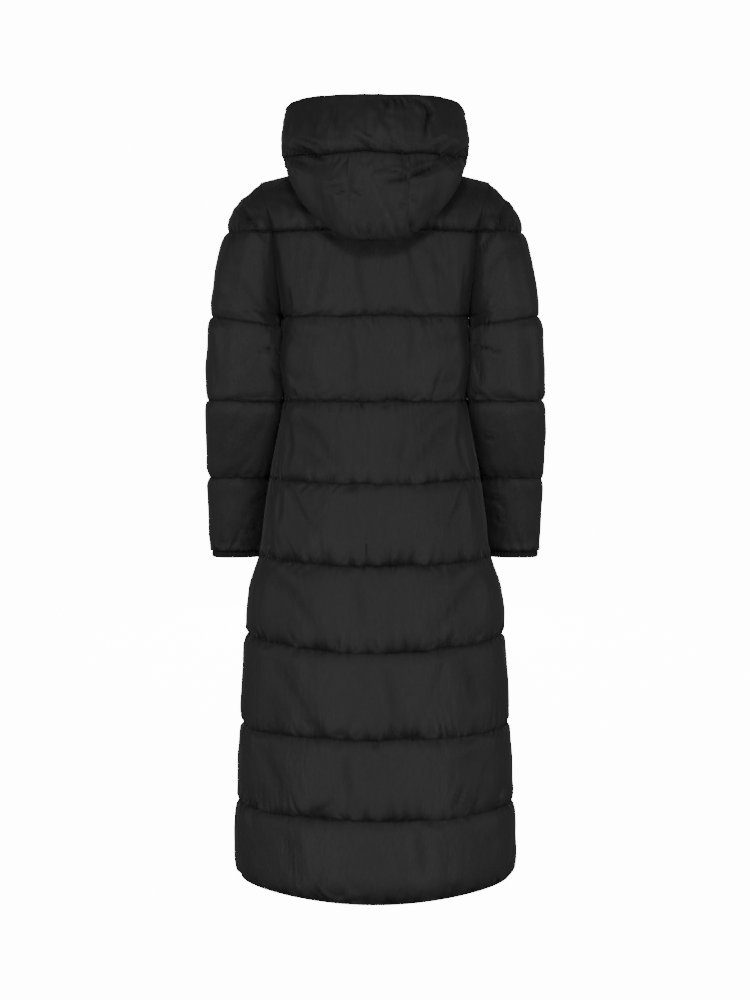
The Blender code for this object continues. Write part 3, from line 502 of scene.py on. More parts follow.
hood = {
    "angles": (0, 15, 30, 45, 60, 75, 90, 110, 135, 172),    # degrees round the neck
    "stand": ((0.092, 0.022), (0.092, 0.022), (0.094, 0.022), (0.096, 0.021), (0.098, 0.019),
              (0.100, 0.017), (0.101, 0.015), (0.100, 0.008), (0.101, -0.016), (0.099, -0.047)),
    "inner": ((0.146, -0.030), (0.147, -0.030), (0.148, -0.022), (0.145, -0.006), (0.137, 0.004),
              (0.127, 0.008), (0.120, 0.010), (0.114, 0.005), (0.111, -0.015), (0.107, -0.045)),
    "fold": ((0.172, -0.129), (0.173, -0.126), (0.176, -0.099), (0.178, -0.056), (0.166, -0.014),
             (0.151, 0.000), (0.139, 0.005), (0.130, 0.003), (0.121, -0.013), (0.114, -0.041)),
    "belly": ((0.205, -0.045), (0.205, -0.044), (0.204, -0.034), (0.199, -0.013), (0.178, 0.002),
              (0.160, 0.008), (0.150, 0.011), (0.140, 0.008), (0.129, -0.006), (0.119, -0.033)),
    "seam": ((0.192, 0.010), (0.193, 0.010), (0.193, 0.011), (0.191, 0.012), (0.178, 0.015),
             (0.162, 0.017), (0.154, 0.018), (0.146, 0.014), (0.134, 0.003), (0.121, -0.022)),
    "band": ((0.187, 0.056), (0.188, 0.056), (0.189, 0.056), (0.189, 0.056), (0.180, 0.054),
             (0.1625, 0.052), (0.157, 0.050), (0.150, 0.045), (0.138, 0.034), (0.123, 0.014)),
    "rim": ((0.152, 0.109), (0.154, 0.109), (0.159, 0.109), (0.164, 0.107), (0.166, 0.099),
            (0.158, 0.089), (0.150, 0.080), (0.140, 0.071), (0.128, 0.060), (0.115, 0.044)),
    "leftSeam": 12.5,
    "rightSeam": -16.0,
    "front": 170.0,
    "gap": 0.0004,
    "wave": ((-0.16, -0.0030), (-0.11, -0.0015), (-0.075, 0.0010), (-0.05, -0.0004),
             (-0.022, 0.0014), (0.0, 0.0020), (0.02, 0.0048), (0.04, 0.0022), (0.06, 0.0008),
             (0.085, -0.0026), (0.11, -0.0008), (0.16, -0.0036)),    # the seam to the band, by x
    "waveHeight": 0.012,
    "waveReach": 0.022,
    "seamLine": 0.0085,         # the wall at the seam between the hood and its band
    "lift": 0.0009,             # the hood starts this far above the neckline
    "columnsPerDegree": 1.3,
    "rowParts": 20,
    "seamColumns": 8,           # columns over which the wall turns into the plane of a seam
    "seamSwell": (0.5, 0.7),    # rows of the table over which the padding thins, and how round
    "bandSwell": (0.35, 0.8),
    "room": (0.004, 0.004, 0.005, 0.010, 0.015, 0.010),     # neck, stand, inner, fold, belly, seam
    "bandRoom": (0.010, 0.015, 0.009),                      # seam, middle, rim
}


def hoodRow(name, angles):
    table = [(angle, *pair) for angle, pair in zip(hood["angles"], hood[name])]
    out = curveThrough(table, 1, np.abs(angles))
    turn = np.radians(angles)
    return np.stack((out * np.sin(turn), out * np.cos(turn), curveThrough(table, 2, np.abs(angles))),
                    axis=-1)


def curvedRows(rows, parts):            # rows added between the given rows, on a smooth curve
    finer = []
    for index in range(len(rows) - 1):
        start = (rows[index + 1] - rows[max(index - 1, 0)]) / 2
        end = (rows[min(index + 2, len(rows) - 1)] - rows[index]) / 2
        finer += [bend(rows[index], rows[index + 1] - rows[index], start, end, part / parts)
                  for part in range(parts)]
    return np.array(finer + [rows[-1]])


def flattenSeam(normals, column, angle):        # an upright seam of the hood lies in one plane
    turn = math.radians(angle)
    around = np.array((math.cos(turn), -math.sin(turn), 0))
    weights = 1 - smoothStep(np.abs(np.arange(normals.shape[1]) - column) / hood["seamColumns"])
    shift = (normals @ around)[:, :, None] * around * weights[None, :, None]
    normals[:] = toUnit(normals - shift)


def hoodShape():                        # grids of the hood and its band, with shared normals
    limits = {"hood_centre": (hood["rightSeam"], hood["leftSeam"]),
              "hood_side_left": (hood["leftSeam"], hood["front"]),
              "hood_side_right": (-hood["front"], hood["rightSeam"])}
    counts = {name: round((stop - start) * hood["columnsPerDegree"])
              for name, (start, stop) in limits.items()}
    spans = {name: np.linspace(*limits[name], counts[name] + 1) for name in limits}
    whole = np.concatenate([spans["hood_side_right"][:-1], spans["hood_centre"],
                            spans["hood_side_left"][1:]])
    starts = {"hood_side_right": 0, "hood_centre": counts["hood_side_right"],
              "hood_side_left": counts["hood_side_right"] + counts["hood_centre"]}
    neck = neckPoint(np.radians(whole)) + np.array((0, 0, hood["lift"]))
    names = ("stand", "inner", "fold", "belly", "seam")
    points = curvedRows([neck] + [hoodRow(name, whole) for name in names], hood["rowParts"])
    band = curvedRows([hoodRow(name, whole) for name in ("seam", "band", "rim")], hood["rowParts"])
    pointsOut, bandOut = outward(points), outward(band)
    shared = toUnit(pointsOut[-1] + bandOut[0])
    leanRows(points[::-1], pointsOut[::-1], shared)
    leanRows(band, bandOut, shared)
    for column in (0, len(whole) - 1, starts["hood_centre"], starts["hood_side_left"]):
        flattenSeam(pointsOut, column, whole[column])
        flattenSeam(bandOut, column, whole[column])
    parts = {name: slice(starts[name], starts[name] + len(spans[name])) for name in limits}
    return points, pointsOut, band, bandOut, parts


def hoodPanels():
    points, pointsOut, band, bandOut, parts = hoodShape()
    rows = np.arange(len(points)) / hood["rowParts"]
    room = np.interp(rows, range(len(hood["room"])), hood["room"])
    fade, power = hood["seamSwell"]
    swell = np.sin(np.clip((rows[-1] - rows) / fade, 0, 1) * math.pi / 2) ** power
    made = {}
    for name, side, ends in (("hood_centre", 0, "first last"), ("hood_side_left", 1, "first"),
                             ("hood_side_right", -1, "last")):
        part = parts[name]
        shift = np.array((side * hood["gap"], 0, 0))
        panel = makePanel(points[:, part] + shift, pointsOut[:, part], room, rows, ends, 1,
                          hood["seamLine"])
        panel["swell"] = swell[:, None]
        panel["quilted"] = False
        made[name] = panel
    along = toUnit(band[1] - points[-2])
    bandRows = np.arange(len(band)) / hood["rowParts"]
    bandRoom = np.interp(bandRows, range(len(hood["bandRoom"])), hood["bandRoom"])
    panel = makePanel(band + along * hood["gap"], bandOut, bandRoom, bandRows, "", 1,
                      hood["seamLine"])
    fade, power = hood["bandSwell"]
    panel["swell"] = (np.sin(np.clip(bandRows / fade, 0, 1) * math.pi / 2) ** power)[:, None]
    panel["quilted"] = False
    made["hood_band"] = panel
    return made


def underarm(place):                    # 1 where a sleeve lies against the body, 0 elsewhere
    (start, fadeIn), (stop, fadeOut) = coat["underarm"]
    return smoothStep((place - start) / fadeIn) * (1 - smoothStep((place - stop) / fadeOut))


def besideWall(share, place):           # least wall; share is 1 where body and sleeve touch
    start, fade = coat["beside"]
    beside = smoothStep((share - start) / fade) * underarm(place)[:, None]
    return coat["leastWall"] + (coat["sideWall"] - coat["leastWall"]) * beside


def sewnWall(place):                    # the wall at the side seams, row by row
    return (coat["seamWall"] + coat["besideExtra"] * underarm(place))[:, None]


def leanDown(grid, normals, columns, target):       # the top edge leans like the shoulder seam
    weight = (1 - smoothStep(lengthsDown(grid) / coat["leanRamp"]))[:, columns, None]
    normals[:, columns] = toUnit(normals[:, columns] + (target - normals[0, columns])[None] * weight)


def sewnNormals(yoke, back, front, arm, head):      # outward normals, shared along the seams
    yokeOut, backOut, frontOut, armOut = (outward(grid, -1) for grid in (yoke, back, front, arm))
    last, chest = coat["shoulderRows"], coat["channelRows"]
    lift = np.array(coat["shoulderLift"])
    onShoulder = np.flatnonzero(frontPlaces <= 1 - coat["neckShare"] + 1e-9)
    leanDown(front, frontOut, onShoulder, np.tile(lift, (len(onShoulder), 1)))
    onShoulder = np.flatnonzero(1 - np.abs(backShares) <= 1 - coat["neckShare"] + 1e-9)
    lifts = np.stack([lift * (math.copysign(1, backShares[column]), 1, 1) for column in onShoulder])
    leanDown(yoke, yokeOut, onShoulder, lifts)
    armOut[0] = lift
    line = toUnit(yokeOut[-1] + backOut[0])
    leanRows(yoke[::-1], yokeOut[::-1], line)
    leanRows(back, backOut, line)
    armhole, below = slice(1, head - 1), slice(head, None)
    point = slice(head - 1, head)       # the underarm point, where all four edges meet
    sew((yoke, yokeOut, slice(1, last), -1), (arm, armOut, slice(1, last), 0))
    sew((back, backOut, slice(0, chest), -1), (arm, armOut, slice(last, head - 1), 0))
    yokeOut[last, -1] = backOut[0, -1]
    sew((front, frontOut, armhole, 0), (arm, armOut, armhole, -1))
    sew((back, backOut, slice(chest, chest + 1), -1), (front, frontOut, point, 0),
        (arm, armOut, point, 0), (arm, armOut, point, -1))
    sew((back, backOut, slice(chest + 1, None), -1), (front, frontOut, below, 0))
    sew((arm, armOut, below, 0), (arm, armOut, below, -1))
    shareEdge(front, frontOut, slice(None), -1, toUnit(frontOut[:, -1] * np.array((0, 1, 1))))
    level = toUnit(armOut[-1] * np.array((1, 1, 0)))
    fade = 1 - smoothStep(np.arange(len(arm))[::-1] / sleeve["wristRows"])
    armOut[:] = toUnit(armOut + (level - armOut[-1])[None] * fade[:, None, None])
    half = len(backShares) // 2
    for normals in (yokeOut, backOut):
        normals[:, :half] = normals[:, :half:-1] * toOtherSide
    return yokeOut, backOut, frontOut, armOut


def sleevePanel(arm, armOut, armPlaces, armRoom, head, shoulderRoom):
    last, columns = coat["shoulderRows"], coat["sleeveColumns"]
    headRows = len(arm) - len(armPlaces)
    fall = np.linalg.norm(np.diff(arm[last:headRows + 1], axis=0), axis=2).mean(axis=1)
    chestPlaces = np.cumsum(fall)[:-1] / fall.sum()
    place = np.concatenate([shoulderSteps - 1, chestPlaces, armPlaces + 1])
    room = np.concatenate([shoulderRoom, np.full(headRows - last - 1, coat["padding"]), armRoom])
    weld = np.arange(len(arm) * (columns + 1)).reshape(-1, columns + 1)
    weld[head - 1:, -1] = weld[head - 1:, 0]
    weld[0] = weld[0, 0]
    outer, inner = coat["sleeveLineWall"]
    nearBody = np.abs(np.linspace(-1, 1, columns + 1))[None, :] ** 2
    panel = makePanel(arm + np.array((coat["armholeGap"], 0, 0)), armOut, room, place,
                      "first last", -1, outer + (inner - outer) * nearBody, weld.ravel())
    panel["seamWall"] = sewnWall(place)
    closed = np.clip((np.arange(len(arm)) - head + 1) / sleeve["closingRows"], 0, 1)[:, None]
    panel["side"] = panel["side"] * (1 - closed) + closed
    panel["over"] = sleeve["over"][0] + sleeve["over"][1] * (1 - nearBody)
    panel["least"] = besideWall(np.sqrt(nearBody), place)
    panel["shade"] = sleeve["shade"]
    return panel


def bodyPanels():
    yoke, back, front = yokeGrid(), backGrid(), frontGrid()
    armhole = np.concatenate([yoke[:, -1], back[1:coat["channelRows"] + 1, -1]])
    arm, armPlaces, armRoom = sleeveGrid(armhole)
    head = len(armhole)                 # rows of the sleeve that are sewn to the armhole
    yokeOut, backOut, frontOut, armOut = sewnNormals(yoke, back, front, arm, head)
    shoulderRoom = np.interp(shoulderSteps, *np.array(coat["shoulderDepth"]).T)
    gap = coat["seamGap"]
    centre, edge = coat["lineWall"]
    low = centre + coat["lowLineExtra"]
    fromBack, fromZip = np.abs(backShares)[None, :], (1 - frontPlaces)[None, :]
    beside = 1 - smoothStep(places - coat["openFrom"])[:, None]
    backLine = centre + (edge - centre) * fromBack ** 2
    lowLine = low + (edge - centre) * beside * fromBack ** 2
    beside = np.concatenate([np.ones((len(shoulderSteps), 1)), beside[1:]])
    frontLine = low + (edge - centre) * beside * fromZip ** 2
    frontPlace = np.concatenate([shoulderSteps - 1, places[1:]])
    frontRoom = np.concatenate([shoulderRoom, np.full(len(places) - 1, coat["padding"])])
    made = {
        "back_yoke": makePanel(yoke + np.array((0, gap / 2, gap)), yokeOut, shoulderRoom,
                               shoulderSteps - 1, "first last", -1, backLine),
        "back_panel": makePanel(back + np.array((0, gap / 2, 0)), backOut,
                                np.full(len(back), coat["padding"]), places, "first last", -1,
                                lowLine),
        "front_left": makePanel(front - np.array((0, gap / 2, 0)), frontOut, frontRoom, frontPlace,
                                "first last", -1, frontLine),
    }
    for panel in made.values():
        panel["seamWall"] = sewnWall(panel["place"])
    least, most, reach = coat["overMiddle"]
    made["back_panel"]["over"] = least + most * (1 - smoothStep(fromBack * reach))
    made["front_left"]["over"] = least + most * smoothStep(frontPlaces * reach)[None, :]
    made["back_panel"]["least"] = besideWall(fromBack, places)
    made["front_left"]["least"] = besideWall(fromZip, frontPlace)
    made["sleeve_left"] = sleevePanel(arm, armOut, armPlaces, armRoom, head, shoulderRoom)
    return made


class Value:                            # a socket that takes part in plain arithmetic
    def __init__(self, tree, socket):
        self.tree = tree
        self.socket = socket

    def math(self, operation, other=None):
        made = self.tree.nodes.new("ShaderNodeMath")
        made.operation = operation
        for slot, value in enumerate((self, other)):
            if isinstance(value, Value):
                self.tree.links.new(value.socket, made.inputs[slot])
            elif value is not None:
                made.inputs[slot].default_value = value
        return Value(self.tree, made.outputs[0])

    def __add__(self, other):
        return self.math("ADD", other)

    def __mul__(self, other):
        return self.math("MULTIPLY", other)

    def __pow__(self, other):
        return self.math("POWER", other)

    def output(self, name):             # another output of the same node
        return Value(self.tree, self.socket.node.outputs[name])

    def feed(self, node, name):
        self.tree.links.new(self.socket, node.inputs[name])


def addNode(tree, kind, settings=None, **inputs):       # any node: settings first, then its sockets
    made = tree.nodes.new("ShaderNode" + kind)
    for name, value in (settings or {}).items():
        setattr(made, name, value)
    for name, value in inputs.items():
        if isinstance(value, Value):
            value.feed(made, name)
        else:
            made.inputs[name].default_value = value
    return Value(tree, made.outputs[0])


def makeMaterial(name, colour, roughness, **constants):
    made = bpy.data.materials.new(name)
    made.use_nodes = True
    shader = made.node_tree.nodes["Principled BSDF"]
    shader.inputs["Base Color"].default_value = (*colour, 1)
    shader.inputs["Roughness"].default_value = roughness
    for socket, value in constants.items():
        shader.inputs[socket.replace("_", " ")].default_value = value
    return made, made.node_tree, shader


def noiseOver(tree, stretch, scale, detail):    # noise on the cloth's own layout
    uv = addNode(tree, "UVMap", {"uv_map": "UVMap"})
    wide = addNode(tree, "Mapping", Vector=uv, Scale=(scale, stretch * scale, 1.0))
    return addNode(tree, "TexNoise", {"noise_dimensions": "2D"}, Vector=wide, Scale=1.0,
                   Detail=detail, Roughness=0.5)


def alongCloth(tree):                   # places across and down the cloth's own layout
    uv = addNode(tree, "UVMap", {"uv_map": "UVMap"})
    split = tree.nodes.new("ShaderNodeSeparateXYZ")
    tree.links.new(uv.socket, split.inputs[0])
    return Value(tree, split.outputs[0]), Value(tree, split.outputs[1])


def mixColours(tree, share, first, second):     # either is a colour or another node's output
    mixed = addNode(tree, "Mix", {"data_type": "RGBA"}, Factor=share)
    for slot, colour in ((6, first), (7, second)):
        if isinstance(colour, Value):
            colour.feed(mixed.socket.node, slot)
        else:
            mixed.socket.node.inputs[slot].default_value = (*colour, 1)
    return mixed.output(2)


cloth = {                               # the padded cloth: lengths in metres
    "colour": (0.0145, 0.0145, 0.0149),
    "cloudy": (0.88, 1.12),     # the shares of that colour it varies between
    "roughness": 0.55,
    "specular": 0.165,
    "sheen": 0.05,
    "sheenRoughness": 0.4,
    "ribPitch": 0.0008,
    "ribHeight": 0.00001,
    "crumple": (0.0010, 0.45, 110.0, 4.0),      # height of the relief, stretch, scale, detail
    "streak": (0.0011, 0.13, 34.0, 2.0),
    "pucker": (0.0080, 0.22, 120.0, 1.0),       # only where the cloth is gathered
    "clouds": (0.16, 0.5, 18.0, 3.0),           # the same for the roughness
    "paintedGatherShade": (0.94, 1.2),  # how deep the shade painted into the gathers is, and how steeply it deepens
    "gatherRough": 0.2,
}
trims = {                               # the weave runs across and along by its slant
    "elasticBinding": {"colour": (0.009, 0.009, 0.0095), "roughness": 0.8,
                       "slant": (1.0, 0.0), "pitch": 0.0009},
    "zipTape": {"colour": (0.006, 0.006, 0.0063), "roughness": 0.75,
                "slant": (0.7, 0.7), "pitch": 0.0007},
    "zipTeeth": {"colour": (0.008, 0.008, 0.0084), "roughness": 0.42, "worn": 0.15},
    "zipMetal": {"colour": (0.055, 0.055, 0.058), "roughness": 0.35, "worn": 0.22},
    "thread": {"colour": (0.008, 0.008, 0.0085), "roughness": 0.6},
    "specular": 0.2,
    "weaveHeight": 0.00012,
    "weaveBump": 0.7,
    "weaveShine": (0.2, 300.0),         # how much the shine varies, and the scale of that
    "speckle": 900.0,                   # scale of the wear on teeth and metal
}


def makeShellCloth():
    made, tree, shader = makeMaterial(
        "shellCloth", cloth["colour"], cloth["roughness"], Specular_IOR_Level=cloth["specular"],
        Sheen_Weight=cloth["sheen"], Sheen_Roughness=cloth["sheenRoughness"])
    down = alongCloth(tree)[1]
    # mask of painted shade beside the lines and in the creases; it also places the puckers and their
    # roughness
    near = addNode(tree, "Attribute", {"attribute_name": "gatherAndPaintedShade"}).output("Fac")
    height = (down * (2 * math.pi / cloth["ribPitch"])).math("SINE") * cloth["ribHeight"]
    for relief in ("crumple", "streak", "pucker"):
        depth, *layout = cloth[relief]
        noise = noiseOver(tree, *layout)
        height = height + (noise * near if relief == "pucker" else noise) * depth
    addNode(tree, "Bump", None, Height=height, Distance=1.0, Strength=1.0).feed(shader, "Normal")
    spread, *layout = cloth["clouds"]
    cloudy = noiseOver(tree, *layout)
    dark, light = ([part * share for part in cloth["colour"]] for share in cloth["cloudy"])
    depth, power = cloth["paintedGatherShade"]
    # painted shade: the cloth's colour is mixed towards black where that mask is high
    colourWithPaintedShade = mixColours(tree, (near ** power) * depth, mixColours(tree, cloudy, dark, light), (0, 0, 0))
    colourWithPaintedShade.feed(shader, "Base Color")
    rough = cloudy * spread + near * cloth["gatherRough"] + (cloth["roughness"] - spread / 2)
    rough.feed(shader, "Roughness")
    return made


def makeWoven(name):                    # a woven relief, unevenly shiny
    trim = trims[name]
    made, tree, shader = makeMaterial(name, trim["colour"], trim["roughness"],
                                      Specular_IOR_Level=trims["specular"])
    across, down = alongCloth(tree)
    wave = (across * trim["slant"][0] + down * trim["slant"][1]) * (2 * math.pi / trim["pitch"])
    addNode(tree, "Bump", None, Height=wave.math("SINE") * trims["weaveHeight"], Distance=1.0,
            Strength=trims["weaveBump"]).feed(shader, "Normal")
    spread, scale = trims["weaveShine"]
    rough = noiseOver(tree, 1.0, scale, 2.0) * spread + (trim["roughness"] - spread / 2)
    rough.feed(shader, "Roughness")
    return made


def makeWorn(name, **constants):        # moulded teeth and metal, finely worn
    trim = trims[name]
    made, tree, shader = makeMaterial(name, trim["colour"], trim["roughness"], **constants)
    worn = addNode(tree, "TexNoise", None, Vector=addNode(tree, "TexCoord").output("Object"),
                   Scale=trims["speckle"], Detail=3.0)
    rough = worn * trim["worn"] + (trim["roughness"] - trim["worn"] / 2)
    rough.feed(shader, "Roughness")
    return made


shellCloth = makeShellCloth()
bindingCloth = makeWoven("elasticBinding")
zipTape = makeWoven("zipTape")
zipTeeth = makeWorn("zipTeeth")
zipMetal = makeWorn("zipMetal", Metallic=1.0)
thread = makeMaterial("thread", trims["thread"]["colour"], trims["thread"]["roughness"])[0]

filling = {                             # how the padded cloth is blown up by pressure
    "frames": 20,
    "fullness": 1.05,       # the cloth is cut this much wider than the lining
    "start": 0.85,          # share of the padding before the cloth is filled
    "lumps": 0.0007,
    "lumpSpans": (5, 7),    # grid steps a lump, down and over
    "streaks": 0.0009,
    "streakSpans": (26, 6),
    "streakFade": (0.6, 3),         # the share they lose down to the third quilt line
    "tightRoom": 0.007,     # the hood is held where it has less room than this
    "cloth": {"quality": 4, "mass": 0.3, "tension_stiffness": 30, "compression_stiffness": 30,
              "shear_stiffness": 5, "bending_stiffness": 0.03, "tension_damping": 5,
              "compression_damping": 5, "shear_damping": 5, "bending_damping": 0.5,
              "air_damping": 1, "uniform_pressure_force": 4.5},
    "gravity": 0.02,
}
gathers = {                             # pairs are for the chest and the skirt
    "spacing": 0.011,
    "width": 0.28,          # width of a pucker and of a fold, as a share of the noise
    "foldWidth": 0.16,
    "foldSlant": 0.4,
    "foldDepth": (0.0016, 0.0028),  # soft folds from the lines
    "above": (0.011, 0.022),        # how far the gathers run up from a quilt line
    "below": 0.010,
    "sag": (0.006, 0.014),          # how far above a line the underside of a channel turns in
    "sagShare": (0.55, 0.80),       # how much of the padding it loses there
    "mostSag": 0.95,
    "wander": 0.0011,       # how far a quilt line strays up and down
    "wanderReach": 0.012,
    "wanderWaves": ((0.05, 1), (0.014, 0.5)),       # spacing along the line, share
    "droop": (0.0030, 0.0095),      # how far a channel hangs over its lower line
    "droopPlace": 0.014,    # how far above the line it hangs most
    "droopWall": 0.011,     # no droop where the line's wall is thicker, beside the sleeves
    "uneven": {             # spacing along the line, mean, swing, least, most
        "slant": (0.05, 0, 1.2, -2, 2), "length": (0.02, 1, 0.7, 0, 2),
        "strength": (0.035, 0.80, 0.5, 0.15, 1), "sag": (0.04, 1, 0.45, 0, 2),
        "droop": (0.045, 0.6, 0.8, 0.1, 1.5),
    },
    "shade": (0.0065, 0.016),       # how far beside a line shade is painted into the cloth and puckers are bumped
    "seamShade": 0.006,             # the same at the hood's seams
    "raggedWaves": ((0.009, 0.6), (0.04, 0.3)),     # how ragged the upper edge of the painted shade is
    "shadeBelow": 0.9,
    "shadePower": 1.6,
    "valleyShade": 0.75,    # how deep the shade painted into the bottom of a crease is
    "valleyDepth": 0.005,   # and from what depth
}


def lumpField(random, shape, spans):    # a smooth random field; spans are grid steps a lump
    sizes = [int(count / span) + 3 for count, span in zip(shape, spans)]
    table = random.normal(size=sizes)
    down, over = (np.arange(count) / span for count, span in zip(shape, spans))
    row, column = down.astype(int), over.astype(int)
    partDown, partOver = smoothStep(down - row)[:, None], smoothStep(over - column)[None]
    upper = table[row][:, column] * (1 - partOver) + table[row][:, column + 1] * partOver
    lower = table[row + 1][:, column] * (1 - partOver) + table[row + 1][:, column + 1] * partOver
    return upper * (1 - partDown) + lower * partDown


def waveAlong(random, at, spacing):     # smooth noise along a line, about -1 to 1
    table = random.uniform(-1, 1, size=600)
    at = at / spacing + 300
    index = np.clip(np.floor(at).astype(int), 0, 598)
    part = smoothStep(at - index)
    return table[index] * (1 - part) + table[index + 1] * part


def lineRows(panel):                    # the rows of a panel that are quilted down
    rows = np.flatnonzero(np.abs(panel["place"] - np.round(panel["place"])) < 1e-6)
    return rows if panel["quilted"] else rows[[0, -1]]


def pinned(panel):
    held = panel["side"] < 1e-9
    held[lineRows(panel)] = True
    if not panel["quilted"]:
        held = held | (panel["room"] < filling["tightRoom"])
    return held


def clothObject(name, panel, start, cut):
    used = np.unique(panel["weld"])
    numbers = renumbered(used, len(panel["weld"]))[panel["weld"]]
    faces = [[quad[step] for step in cornersOf(quad)]
             for quad in numbers[gridFaces(panel)].tolist()]
    made = newObject(name, start.reshape(-1, 3)[used], faces)
    made.shape_key_add(name="Basis")
    pattern = made.shape_key_add(name="cut")
    pattern.data.foreach_set("co", cut.reshape(-1, 3)[used].astype(np.float32).ravel())
    pattern.value = 0
    group = made.vertex_groups.new(name="held")
    group.add(np.flatnonzero(pinned(panel).ravel()[used]).tolist(), 1.0, "REPLACE")
    pressed = made.modifiers.new("Cloth", "CLOTH")
    pressed.settings.rest_shape_key = pattern
    pressed.settings.vertex_group_mass = "held"
    pressed.settings.pin_stiffness = 1
    pressed.settings.effector_weights.gravity = filling["gravity"]
    pressed.settings.use_pressure = True
    for setting, value in filling["cloth"].items():
        setattr(pressed.settings, setting, value)
    pressed.collision_settings.use_collision = False
    pressed.point_cache.frame_start = 1
    pressed.point_cache.frame_end = filling["frames"] + 5
    return made, numbers


def startShape(panel, random):          # the padding with its lumps, not yet filled
    thickness = plainThickness(panel)
    room = panelSwell(panel) * panel["side"]
    low = np.minimum(panel["line"], thickness)
    thickness = thickness - (1 - filling["start"]) * (thickness - low) * room
    lumps = lumpField(random, thickness.shape, filling["lumpSpans"]) * filling["lumps"]
    return shell(panel, thickness + lumps * room)


def fillPanels(starts):                 # all panels are blown up in one run of frames
    made = {}
    for name, start in starts.items():
        panel = panels[name]
        over = panel["points"] * filling["fullness"]
        cut = np.stack((over[..., 0], over[..., 1], -lengthsDown(start)), axis=-1)
        if not panel["quilted"]:
            cut = start * (1 + (filling["fullness"] - 1) / 2)
        made[name] = clothObject(name + "_filling", panel, start, cut)
    for moment in range(1, filling["frames"] + 1):
        scene.frame_set(moment)
    graph = bpy.context.evaluated_depsgraph_get()
    filled = {}
    for name, (piece, index) in made.items():
        mesh = piece.evaluated_get(graph).data
        points = np.empty(len(mesh.vertices) * 3, dtype=np.float32)
        mesh.vertices.foreach_get("co", points)
        filled[name] = points.reshape(-1, 3).astype(float)[index].reshape(starts[name].shape)
    for piece, index in made.values():
        bpy.data.objects.remove(piece)
    scene.frame_set(1)
    return filled


def fromLines(panel, outside):          # how far each point is below and above a quilt line
    arc, marks = lengthsDown(outside), lineRows(panel)
    rows = np.arange(len(arc))
    upper = marks[np.clip(np.searchsorted(marks, rows, side="right") - 1, 0, len(marks) - 1)]
    lower = marks[np.clip(np.searchsorted(marks, rows, side="left"), 0, len(marks) - 1)]
    return arc - arc[upper], arc[lower] - arc, upper, lower


def ridges(values, width):              # 1 where smooth noise passes zero
    return np.exp(-(values / width) ** 2)


def toSkirt(pair, place, span=3):       # a measure at the chest and at the skirt, read in between
    return pair[0] + (pair[1] - pair[0]) * smoothStep((place - 1) / span)


def varied(random, along, name):        # a share that varies along a line
    spacing, mean, swing, least, most = gathers["uneven"][name]
    return np.clip(mean + swing * waveAlong(random, along, spacing), least, most)


def mixedWaves(random, along, waves):   # waves are spacings along a line, each with its share
    return sum(share * waveAlong(random, along, spacing) for spacing, share in waves)


def gatherPanel(panel, outside, random):        # short puckers at the lines, drooping channels
    below, above, upper, lower = fromLines(panel, outside)
    along = columnPlaces(panel["points"])[None, :] + 0 * below
    depth, shift, fall, sag = (np.zeros(below.shape) for part in range(4))
    spacing = gathers["spacing"]
    marks = lineRows(panel)
    for mark in marks:
        upward, sagReach, sagShare, deep, droop = (
            toSkirt(gathers[part], panel["place"][mark])
            for part in ("above", "sag", "sagShare", "foldDepth", "droop"))
        isLower, isUpper = (lower == mark)[:, None], (upper == mark)[:, None]
        for away, near, reach in ((above, isLower, upward), (below, isUpper, gathers["below"])):
            slanted = along + away * varied(random, along, "slant")
            pucker = ridges(waveAlong(random, slanted, spacing), gathers["width"])
            length = reach * varied(random, along, "length")
            strength = varied(random, along, "strength")
            leaning = along + gathers["foldSlant"] * away
            wide = ridges(waveAlong(random, leaning, spacing * 4), gathers["foldWidth"])
            sag += near * pucker * strength * np.exp(-(away / length) ** 2)
            depth += near * deep * wide * strength * np.exp(-away / (3 * length))
        away = np.where(isLower, above, below)
        stray = mixedWaves(random, along, gathers["wanderWaves"])
        shift += (isLower | isUpper) * stray * np.exp(-(away / gathers["wanderReach"]) ** 2)
        if mark != marks[0]:
            uneven = varied(random, along, "sag")
            sag += isLower * sagShare * np.exp(-above / (sagReach * uneven))
        if mark not in (marks[0], marks[-1]):
            part = above / gathers["droopPlace"]
            hang = droop * varied(random, along, "droop")
            fall += isLower * hang * part * np.exp(1 - part) * (above > 0)
    loose = panel["side"] * np.ones((len(below), 1))
    loose[[0, -1]] = 0
    if panel["quilted"]:
        shift[marks[-1]] = 0
        fall = fall * (panel["line"] < gathers["droopWall"])
        outside = outside.copy()
        outside[..., 2] += (shift * gathers["wander"] - fall) * loose
    return outside, depth * loose, np.minimum(sag, gathers["mostSag"])


def humped(part, power):                # low at both ends, 1 in the middle
    return np.sin(math.pi * (0.12 + 0.76 * part)) ** power


folding = {                             # the banks beside a crease, in depths and widths of its valley
    "bank": 0.4,
    "bankPlace": 2.2,
    "bankWidth": 1.2,
    "taper": 0.8,
    "edgeOn": 0.05,         # cloth seen more edge on than this has no crease
    "counts": {"front_left": 22, "front_right": 22, "sleeve_left": 10, "sleeve_right": 10},
    "margins": (0.05, 0.04),        # room below and above the creases that are strewn at random
    "length": (0.03, 0.08),
    "slant": (-0.5, 0.5),
    "width": (0.004, 0.010),
    "depth": (0.0014, 0.0028),
}


